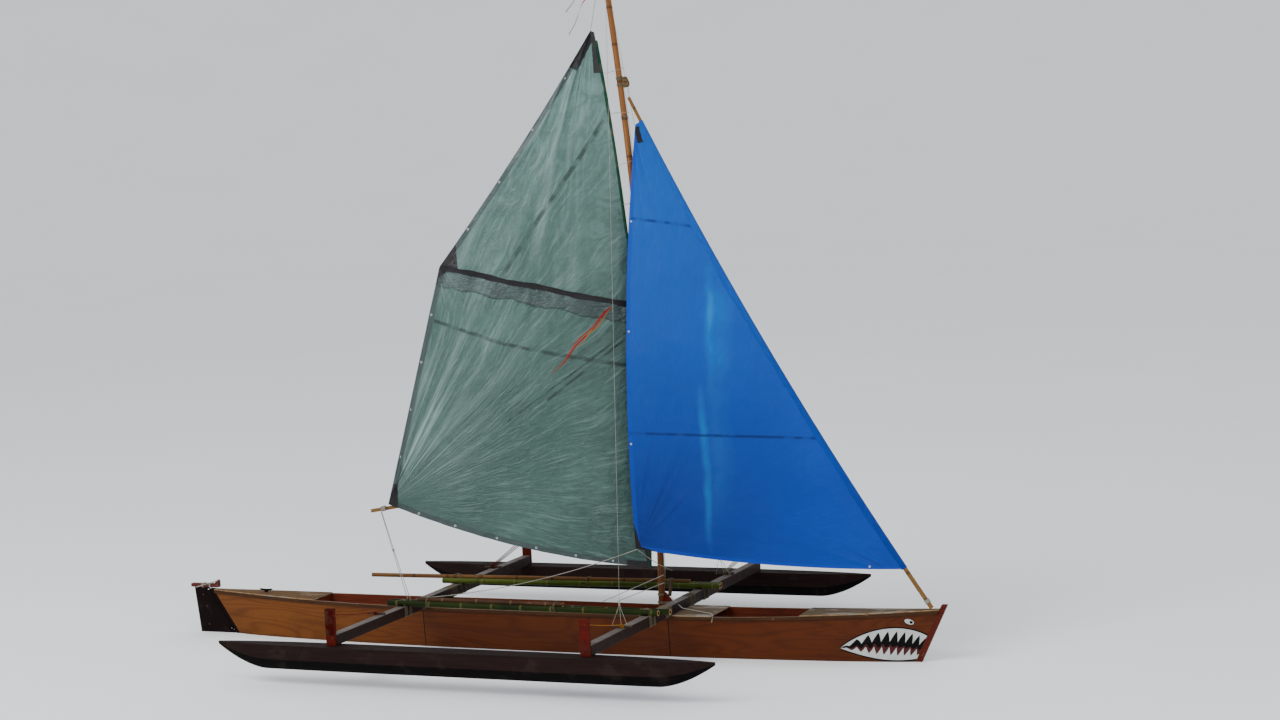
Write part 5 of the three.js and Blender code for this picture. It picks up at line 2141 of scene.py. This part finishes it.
    def rumple(self, x: Array, z: Array, height: float, size: float, seed: int) -> Array:
        """Small random folds: the mean of eight waves of random direction, folded at zero into ridges.

        Args:
            x: x in the sail's plane, in metres.
            z: height in the sail's plane, in metres.
            height: the folds' height, in metres.
            size: the folds' size, in metres.
            seed: the seed of the random draws.

        Returns:
            The depth, for each point.
        """
        chance = np.random.default_rng(seed)
        turns, sizes, phases = chance.uniform(0, math.pi, 8), chance.uniform(0.6, 1.7, 8), chance.uniform(0, 6.3, 8)
        total = 0
        for turn, part, phase in zip(turns, sizes, phases):
            way = x * math.cos(turn) + z * math.sin(turn)
            bend_part = 0.35 * np.sin((x * math.sin(turn) - z * math.cos(turn)) / size * 1.3 + phase)
            total = total + np.sin(way * 2 * math.pi / (size * part) + phase + bend_part)
        return height * (1 - np.abs(total) / 3.2)


@dataclass
class Mainsail(Sail):
    """The green mainsail with its batten, boom, patches and lacing."""

    tack: Pair = (0.138, 0.32)
    throat: Pair = (0.19, 5.045)
    clew: Pair = (2.41, 1.07)
    corner: Pair = (1.745, 3.13)
    peak: Pair = (0.222, 5.06)
    luff_arch: float = 0.105
    luff_drop: float = 0.042
    leech_hollow: float = 0.035

    def fore(self, w: Array) -> tuple[Array, Array]:
        """The luff: from tack to throat, bowed forward."""
        return (mixed(self.tack[0], self.throat[0], w) - arch(w, self.luff_arch),
                mixed(self.tack[1], self.throat[1], w) - arch(w, self.luff_drop))

    def after(self, w: Array) -> tuple[Array, Array]:
        """The leech: from the clew up to the corner at the batten, then to the peak in a slight hollow.

        Args:
            w: the share of the height.

        Returns:
            x and z of the leech.
        """
        low, high = np.clip(w * 2, 0, 1), np.clip(w * 2 - 1, 0, 1)
        x, z = (np.where(w > 0.5, mixed(corner, peak, high) - hollow, mixed(clew, corner, low))
                for clew, corner, peak, hollow in zip(self.clew, self.corner, self.peak,
                                                      (arch(high, self.leech_hollow), 0.0)))
        return x, z

    def batten_line(self) -> tuple[Array, Array]:
        """The ends of the batten in the plane."""
        start, end = (np.array(edge(np.array(0.5))) for edge in (self.fore, self.after))
        return start, end

    def below(self, x: Array, z: Array) -> Array:
        """How far a place is below the batten's line."""
        (x0, z0), (x1, z1) = self.batten_line()
        return mixed(z0, z1, (x - x0) / (x1 - x0)) - z

    def folds(self, x: Array, z: Array) -> Array:
        """How strongly the corners fold the cloth, from 0 to about 1.

        Args:
            x: x in the sail's plane, in metres.
            z: height in the sail's plane, in metres.

        Returns:
            The strength, for each point.
        """
        return (1.1 * self.fan(x, z, self.clew, 2.6, (19.0, 31.0, 46.0), 2.05, 0.5)
                + self.fan(x, z, self.peak, 2.2, (27.0, 41.0, 62.0), -1.2, 0.4)
                + 0.2 * self.fan(x, z, (1.8, 3.25), 0.4, (15.0, 26.0, 39.0), -1.9, 0.6)
                + 0.4 * self.fan(x, z, self.tack, 0.5, (17.0, 29.0, 41.0), 0.8, 0.6))

    def ripple(self, x: Array, z: Array) -> Array:
        """The corners' folds, gathers under the batten, and rumples that are strongest low in the sail.

        Args:
            x: x in the sail's plane, in metres.
            z: height in the sail's plane, in metres.

        Returns:
            The depth, for each point.
        """
        below = self.below(x, z)
        gathers = 0.012 * np.clip(below / 0.03, 0, 1) * np.exp(-np.maximum(below, 0) / 0.22)
        gathers = gathers * (0.5 + 0.5 * np.sin(x * 44 + 5 * np.sin(x * 7) + z * 9))
        low = np.clip((2.6 - z) / 1.6, 0.25, 1)
        soft = self.rumple(x, z, 0.008, 0.55, 5)
        return 0.03 * self.folds(x, z) + gathers + low * self.rumple(x, z, 0.0055, 0.15, 11) + soft

    def lace(self, mast: Mast) -> None:
        """Loops of thin line from the luff round the mast, each a drop shape.

        Args:
            mast: the mast that it hangs on.
        """
        turn = np.linspace(0, 2 * math.pi, 33)
        for number, w in enumerate(np.linspace(0.1, 0.93, 11)):
            x, z = self.fore(w)
            luff = self.swing.world((x, 0.0, z))
            middle = mast.beside(float(luff[2]) + 0.02)
            ahead = unit(middle - luff)
            aside = unit(np.cross(ahead, [0, 0, 1.0]))
            far = middle + ahead * 0.046
            long, wide = np.linalg.norm(far - luff) / 2 * np.cos(turn), 0.048 * np.sin(turn) * (1 + 0.45 * np.cos(turn))
            path = (luff + far) / 2 + np.outer(long, ahead) + np.outer(wide, aside)
            path[:, 2] += 0.03 * np.sin(turn / 2) * (1 if number % 2 else -1)
            crossing(f"mast_lacing_{number + 1:02d}", rope(path, 0.0019, (0, 0, 1), 5), Body.MAIN)

    def make(self, mast: Mast) -> None:
        """Builds the sail and what is on it.

        Args:
            mast: the mast that it hangs on.
        """
        sail = build("mainsail_cloth", self.sheet(), GREEN_TARP, "mainsail", Body.MAIN, crease=60)
        inset, sag = 0.004, 0.007
        start, end = self.batten_line()
        path = [mixed(start, end, share) + [0, sag * math.sin(share * 17) * math.sin(math.pi * share)]
                for share in np.linspace(inset, 1 - inset, 15)]
        build("batten_tape", self.band(path, 0.046, (0.004, -0.009), 0.18), TAPE, "main_batten", Body.MAIN)
        eyes = self.grommets(0.0075, (0.1, 0.2, 0.3, 0.4, 0.58, 0.68, 0.79, 0.9), (-0.022, 0),
                             (0.14, 0.28, 0.43, 0.58, 0.74, 0.88), (0, 0.024))
        rings = build("mainsail_grommets", eyes, GROMMET, body=Body.MAIN)
        edge_w = np.linspace(0.0, 0.985, 150)
        x, z = self.fore(edge_w)
        luff = rope(self.swing.world(spots(x - 0.002, 0.002, z)), 0.014, (0, 1, 0), 8)
        bolt_rope = build("luff_rope", luff, LUFF_CORD, body=Body.MAIN)
        wide = self.after(edge_w)[0] - x
        area = float(np.sum((wide[1:] + wide[:-1]) / 2 * np.diff(z)))
        ends = [self.swing.world(spot) for spot in ((0.0322, -0.0193, 1.235), (2.575, -0.0193, 1.02))]
        boom = Pole(*ends, 0.017, 0.0165, toward=(0, 0, 1), wander=0.0, spacing=0.28)
        build("sprit_boom_cane", boom.surface(), [SPAR_CANE, CUT_CANE, HOLLOW_SHADE], "sprit_boom", Body.MAIN)
        self.lace(mast)
        self.make_lines(mast)

    def make_lines(self, mast: Mast) -> None:
        """The clew lashing, the halyard and the sheet.

        Args:
            mast: the mast that it hangs on.
        """
        radius = 0.0028
        clew = self.swing.world((2.44, -0.012, 1.036))
        axis = self.swing.world((2.5, -0.0193, 1.026)) - clew
        wrap = rope(helix(clew, axis, (0.0215, 0.0215), 6, 0.007, steps=16), radius, unit(axis))
        build("clew_lashing", wrap, WHITE_CORD, body=Body.MAIN)
        peak, head = self.swing.world((0.222, 0.0, 5.05)), mast.beside(6.03, -0.03)
        crossing("peak_halyard", rope(line(head, peak, step=0.04), radius, (0, 1, 0)), Body.MAIN)
        low, high = np.array([-1.207, -0.5, 0.475]), self.swing.world((2.49, -0.04, 1.0))
        parts = [rope(line(low + [0, aside, 0], high + [ahead, 0, 0], sag=sag), radius)
                 for aside, ahead, sag in ((-0.02, 0.0, 0.0), (0.025, 0.006, 0.012))]
        knot = helix(mixed(low, high, 0.56), high - low, (0.008, 0.008), 4, 0.006, steps=12)
        crossing("mainsheet", joined([*parts, rope(knot, radius, unit(high - low))]), Body.MAIN)


@dataclass
class Jib(Sail):
    """The blue jib on its bent spar, with its sleeve, patches and sheets."""

    tack_z: float = 0.41
    head_z: float = 4.89
    clew: Pair = (1.954, 1.724)
    head: Pair = (0.07, 4.89)
    roach: Pair = (0.07, 0.045)
    spar_length: float = 5.126
    spar_bend: float = 0.085
    spar_foot: float = 0.02
    spar_top: float = 0.015

    def spar_x(self, z: Array) -> Array:
        """The middle of the spar at a distance up its chord."""
        return arch(z / self.spar_length, self.spar_bend)

    def spar_radius(self, z: Array) -> Array:
        """The spar's radius there."""
        return mixed(self.spar_foot, self.spar_top, z / self.spar_length)

    def fore(self, w: Array) -> tuple[Array, Array]:
        """The luff, against the spar's after side."""
        z = mixed(self.tack_z, self.head_z, w)
        return self.spar_x(z) + self.spar_radius(z) + 0.0006, z

    def after(self, w: Array) -> tuple[Array, Array]:
        """The leech, rounded out from clew to head."""
        return (mixed(self.clew[0], self.head[0], w) + arch(w, self.roach[0]),
                mixed(self.clew[1], self.head[1], w) + arch(w, self.roach[1]))

    def folds(self, x: Array, z: Array) -> Array:
        """How strongly the corners fold the cloth, from 0 to about 1.

        Args:
            x: x in the sail's plane, in metres.
            z: height in the sail's plane, in metres.

        Returns:
            The strength, for each point.
        """
        return (1.2 * self.fan(x, z, self.clew, 0.6, (15.0, 23.0, 36.0), 2.6, 1.0)
                + 0.6 * self.fan(x, z, (0.07, 4.95), 0.9, (30.0, 47.0), -1.2, 0.7)
                + 0.6 * self.fan(x, z, (0.06, 0.36), 0.6, (23.0, 37.0), 0.9, 0.8))

    def ripple(self, x: Array, z: Array) -> Array:
        """The corners' folds, and slow rumples."""
        soft = self.rumple(x, z, 0.007, 0.7, 7) + self.rumple(x, z, 0.002, 0.2, 3)
        return 0.018 * self.folds(x, z) + soft

    def sleeve(self) -> Surface:
        """The sleeve round the spar: a drop-shaped section whose tail lies on the cloth.

        Returns:
            The sleeve.
        """
        z = np.linspace(self.tack_z - 0.005, self.head_z + 0.004, 130)[:, None]
        turn = np.linspace(0, 2 * math.pi, 24, endpoint=False)
        tail = ((1 + np.cos(turn)) / 2) ** 3
        radius = self.spar_radius(z) + 0.0032
        pleat = 1 + 0.05 * np.sin(z * 40 + 3 * np.sin(z * 9)) * np.sin(turn * 2)
        length = np.minimum(0.05, np.minimum(self.head_z + 0.02 - z, z - self.tack_z + 0.02) * 0.35)
        x = self.spar_x(z) + radius * np.cos(turn) * pleat + tail * length
        y = radius * np.sin(turn) * (1 - 0.9 * tail) * pleat
        made = rings(self.swing.world(spots(x, y, z)), z[:, 0])
        for name, value in (("edge", 1.0), ("fold", 0.0), ("below", -1.0)):
            made.marks[name] = np.full(len(made.points), value)
        return made

    def make(self) -> None:
        """Builds the jib and what is on it."""
        sail = build("jib_cloth", self.sheet(), BLUE_TARP, "jib", Body.JIB, crease=60)
        sleeve = build("jib_sleeve", self.sleeve(), SLEEVE_TARP, body=Body.JIB)
        eyes = self.grommets(0.0065, (0.245, 0.51, 0.77), (-0.02, -0.008), (0.12,), (-0.006, 0.022))
        rings = build("jib_grommets", eyes, GROMMET, body=Body.JIB)
        edge_w = np.linspace(0, 1, 120)
        (x0, z0), (x1, z1) = self.fore(edge_w), self.after(edge_w)
        aft, _, up = self.swing.basis()
        ends = [self.swing.world((0, 0, z)) for z in (0.0, self.spar_length)]
        cane = Pole(*ends, self.spar_foot, self.spar_top, self.spar_bend, aft, spacing=0.26, wander=0.0, phase=0.09,
                    sides=16)
        build("jib_spar_cane", cane.surface(), [SPAR_CANE, CUT_CANE, HOLLOW_SHADE], "jib_spar", Body.JIB)
        turns = helix(self.swing.world((0.003, 0, 0.05)), up, (0.0225, 0.0225), 6, 0.006, steps=18)
        build("spar_lashing", rope(turns, 0.0026, up), WHITE_CORD, body=Body.JIB)
        self.make_sheets()

    def make_sheets(self) -> None:
        """The working sheet to the cockpit and the lazy sheet round the mast, both from the clew."""
        clew = self.cloth(np.array([1.945]), np.array([1.715]))[0]
        for name, end in (("jib_sheet", (-1.17, -0.25, 0.458)), ("jib_lazy_sheet", (1.165, 0.035, 0.72))):
            crossing(name, rope(line(end, clew, sag=0.03), 0.0032, (0.2, 1, 0.1)), Body.JIB)


@dataclass
class Stern:
    """The rudder, its hinge line aft of the raked sternpost, and the fittings of the after deck."""

    tiller_z: float = 0.4353
    hinge_back: float = 0.0653
    face_back: float = 0.0353
    stock_half: float = 0.012
    nose: float = 0.0142
    cut: float = 0.0248
    fairing: float = 0.0178

    def hinge_x(self, z: Array | float) -> Array:
        """The hinge line: parallel to the raked stern, hinge_back behind the end of the planking."""
        top, foot = LINES.sheer_z(-LINES.stern), LINES.keel_z(-LINES.stern)
        return -LINES.stern - self.hinge_back + LINES.stern_rake / (top - foot) * (top - z)

    def stock(self) -> Surface:
        """The stock: level sections with a round nose about the hinge, cut back at the two lugs, and its pin.

        Returns:
            The stock and its pin.
        """
        rows = [(-0.044, 1), (0.0255, 1), (0.0255, 0), (0.0465, 0), (0.0465, 1),
                (0.3955, 1), (0.3955, 0), (0.4165, 0), (0.4165, 1), (0.435, 1)]
        z, whole = np.array(rows, float).T[:, :, None]
        front, back = np.linspace(-90, 90, 11) * math.pi / 180, np.linspace(90, 270, 7) * math.pi / 180
        fore = self.hinge_x(z) - self.cut * (1 - whole) + np.where(whole > 0, self.nose, 0.001) * np.cos(front)
        aft = mixed(-3.776, -3.826, (z + 0.044) / 0.479) + 0.006 * (1 + np.cos(back))
        y = self.stock_half * np.sin(np.concatenate([front, back]))
        board = rings(spots(np.concatenate([fore, aft], 1), y, z), z[:, 0] + 1e-5 * np.arange(len(rows)))
        ends = [(float(self.hinge_x(height)), 0.0, height) for height in (0.043, 0.399)]
        return joined([board, rope(line(*ends, step=0.1), 0.005, (0, 1, 0), 12)])

    def post_fairing(self) -> Surface:
        """The strip that fills most of the space between the sternpost's after face and the stock.

        Returns:
            The strip.
        """
        z = np.linspace(-0.03, 0.42, 8)[:, None]
        half, depth, back = 0.019, self.hinge_back - self.face_back - GAP, self.fairing
        x, y = np.array([(depth, -half), (depth, half), (back + 0.004, half), (back, half - 0.006),
                         (back, 0.006 - half), (back + 0.004, -half)]).T
        return rings(spots(self.hinge_x(z) + x, y, z), z[:, 0])

    def make(self) -> None:
        """Builds the stock, dresses the blade and tiller, and adds lashings, bolts and the deck cleat."""
        build("rudder_stock_board", self.stock(), RUDDER_PAINT, "rudder_stock", Body.RUDDER)
        build("post_fairing", self.post_fairing(), RUDDER_PAINT)
        dress_node("rudder_blade", RUDDER_PAINT, 0.003)
        dress_node("tiller", TILLER_PAINT, 0.004)
        middle, radii = self.tiller_z + 0.0165, (0.0185, 0.0255)
        wraps = [rope(helix((x, 0, middle), (1, lean, 0), radii, turns, 0.007, 0.4, steps=24), 0.0026)
                 for x, turns, lean in ((-3.74, 5, 0.25), (-3.645, 3, -0.3))]
        side, top = 0.0275, self.tiller_z + 0.069
        strap = line((-3.8, side, 0.432), (-3.56, side, top - 0.006), (-3.56, 0.012, top), (-3.56, -0.012, top),
                     (-3.56, -side, top - 0.006), (-3.8, -side, 0.432), step=0.02)
        wraps.append(rope(strap, 0.0045, (-0.28, 0, 0.96), 7))
        build("tiller_lashing", joined(wraps), WHITE_CORD, body=Body.RUDDER)
        thin, thick = 0.012, 0.0283
        heads = [(-3.682, -thin, 0.076), (-3.682, thick, 0.076), (-3.7, -thin, 0.25), (-3.7, thin, 0.25),
                 (-3.73, -thin, 0.36), (-3.73, thin, 0.36)]
        bolts = scatter(button(0.009, 0.006, 12), np.array(heads), np.sign(heads) * [0, 1, 0])
        build("rudder_bolts", bolts, BOLT, body=Body.RUDDER)
        self.make_cleat(-3.03)

    def make_cleat(self, x: float) -> None:
        """The small black cleat on the after deck: a post and two horns.

        Args:
            x: x of its post.
        """
        deck = float(LINES.sheer_z(x)) + 0.0125
        share = np.linspace(-1, 1, 25)
        horn = spots(x + 0.07 * share, 0, deck + 0.022 + 0.008 * share ** 2)
        post = line((x, 0, deck - 0.004), (x, 0, deck + 0.02), step=0.006)
        cleat = [sweep(horn, circle(10, 0.009), 1 - 0.55 * share ** 4),
                 sweep(post, rounded(0.045, 0.018, 0.006), up=(1, 0, 0))]
        build("deck_cleat", joined(cleat), BLACK)


@dataclass
class Studio:
    """The floor at the waterline, the light and the camera.

    The floor is a disc with a hole for the hull, and its far rim rises in a smooth bowl. The camera's place
    comes from the photograph: the boat heels and trims a little there, which is put into the camera.
    """

    azimuth: float = 24.22
    distance: float = 24.99
    aside: float = 0.752
    height: float = 2.664
    heel: float = 6.46
    trim: float = 0.38
    rise: float = 0.06
    sink: float = -0.13
    focal_pixels: float = 2765.6
    tilt_pixels: float = 16.5
    picture_width: float = 1280.0
    sensor: float = 36.0
    flat_radius: float = 46.0
    rim_radius: float = 110.0
    rim_height: float = 70.0

    def floor(self) -> None:
        """Makes the floor, its inner edge just inside the planking at the waterline."""
        share, level = np.linspace(0, 1, 90), np.zeros(90)
        along = -LINES.stern + (LINES.stern + LINES.bow) * (0.5 - 0.5 * np.cos(math.pi * share))
        starboard = spots(LINES.raked(along, level), -(LINES.half(along, level) - 0.004))
        loop = np.concatenate([starboard, starboard[-2:0:-1] * [1, -1]])
        outer = self.rim_radius * on_circle(math.pi + 2 * math.pi * np.arange(len(loop)) / len(loop))
        way = np.concatenate([[0], np.geomspace(0.004, 1, 60)])[:, None, None]
        flat = mixed(loop[None], outer[None], way)
        radius = np.linalg.norm(flat, axis=-1)
        over = np.clip((radius - self.flat_radius) / (self.rim_radius - self.flat_radius), 0, 1)
        points = spots(flat[..., 0], flat[..., 1], self.rim_height * over ** 2)
        surface = grid(points, np.concatenate([flat, flat[:, :1]], 1), loop=True)
        mesh = bpy.data.meshes.new("floor")
        mesh.from_pydata(surface.points.tolist(), [], surface.faces[0].tolist())
        mesh.shade_smooth()
        mesh.materials.append(self.floor_finish())
        shown("floor", mesh)

    def floor_finish(self) -> bpy.types.Material:
        """A pale matt finish, a little uneven.

        Returns:
            The material.
        """
        made = bpy.data.materials.new("pale floor")
        made.use_nodes = True
        graph = Graph(made.node_tree)
        cloud = graph.noise(graph.place(), 0.4, detail=3.0)
        graph.out("Base Color", graph.mix(cloud, (238, 239, 240), (244, 244, 244)))
        graph.out("Roughness", 0.75)
        return made

    def light(self) -> None:
        """Soft light from a pale sky and one broad lamp high on the near side."""
        world = bpy.data.worlds.new("studio")
        world.use_nodes = True
        back = world.node_tree.nodes["Background"]
        back.inputs["Color"].default_value = linear((238, 242, 246))
        back.inputs["Strength"].default_value = 1.15
        bpy.context.scene.world = world
        for name, place, size, power in (("key", (-9.0, -15.0, 17.0), 12.0, 3600.0),
                                         ("fill", (12.0, -10.0, 9.0), 9.0, 700.0)):
            lamp = bpy.data.lights.new(name, "AREA")
            lamp.size, lamp.energy = size, power
            holder = shown(name, lamp)
            holder.location = place
            x, y, z = place[0], place[1], place[2] - 2.0
            holder.rotation_euler = (math.atan2(math.hypot(x, y), z), 0, math.atan2(x, -y))

    def camera(self) -> None:
        """Places the camera. Its view is turned into the upright boat's frame."""
        heel, trim, way = (math.radians(angle) for angle in (self.heel, self.trim, self.azimuth))
        roll = np.array([(1, 0, 0), (0, math.cos(heel), -math.sin(heel)), (0, math.sin(heel), math.cos(heel))])
        pitch = np.array([(math.cos(trim), 0, -math.sin(trim)), (0, 1, 0), (math.sin(trim), 0, math.cos(trim))])
        turned = pitch @ roll
        ahead, right, up = np.array([(-math.sin(way), math.cos(way), 0), (math.cos(way), math.sin(way), 0), (0, 0, 1)])
        eye = -self.distance * ahead + self.aside * right + self.height * up
        tilt = math.atan(self.tilt_pixels / self.focal_pixels)
        forward = ahead * math.cos(tilt) - up * math.sin(tilt)
        above = ahead * math.sin(tilt) + up * math.cos(tilt)
        lens = bpy.data.cameras.new("camera")
        lens.sensor_width = self.sensor
        lens.lens = self.focal_pixels / self.picture_width * self.sensor
        lens.clip_end = 400.0
        camera = shown("camera", lens)
        matrix = np.eye(4)
        matrix[:3, :3] = np.stack([turned.T @ right, turned.T @ above, -(turned.T @ forward)], 1)
        matrix[:3, 3] = turned.T @ (eye - self.sink * up) - self.rise * up
        camera.matrix_world = Matrix(matrix.tolist())
        bpy.context.scene.camera = camera

    def make(self) -> None:
        """Sets the stage."""
        self.camera()
        self.light()
        self.floor()


def main() -> None:
    """Builds the boat's parts in order."""
    logging.basicConfig(level=logging.INFO, format="%(message)s")
    for block in list(bpy.data.objects):
        if block.type in ("CAMERA", "LIGHT"):
            bpy.data.objects.remove(block)
    mast = Mast()
    main_swing = Swing((1.136, 0.0, 0.448), math.atan(0.0446), math.radians(20))
    jib_swing = Swing((3.573, 0.0, 0.4664), math.atan2(0.502, 0.865), math.radians(15.3))
    Studio().make()
    Hull().make()
    Mouth().make()
    Outriggers().make()
    mast.make()
    Mainsail(main_swing, belly=0.06, foot_round=0.075, rows=260, columns=130).make(mast)
    Jib(jib_swing, belly=0.07, foot_round=0.05, rows=220, columns=100, fold_mark=0.6).make()
    Stern().make()


if __name__ == "__main__":
    main()
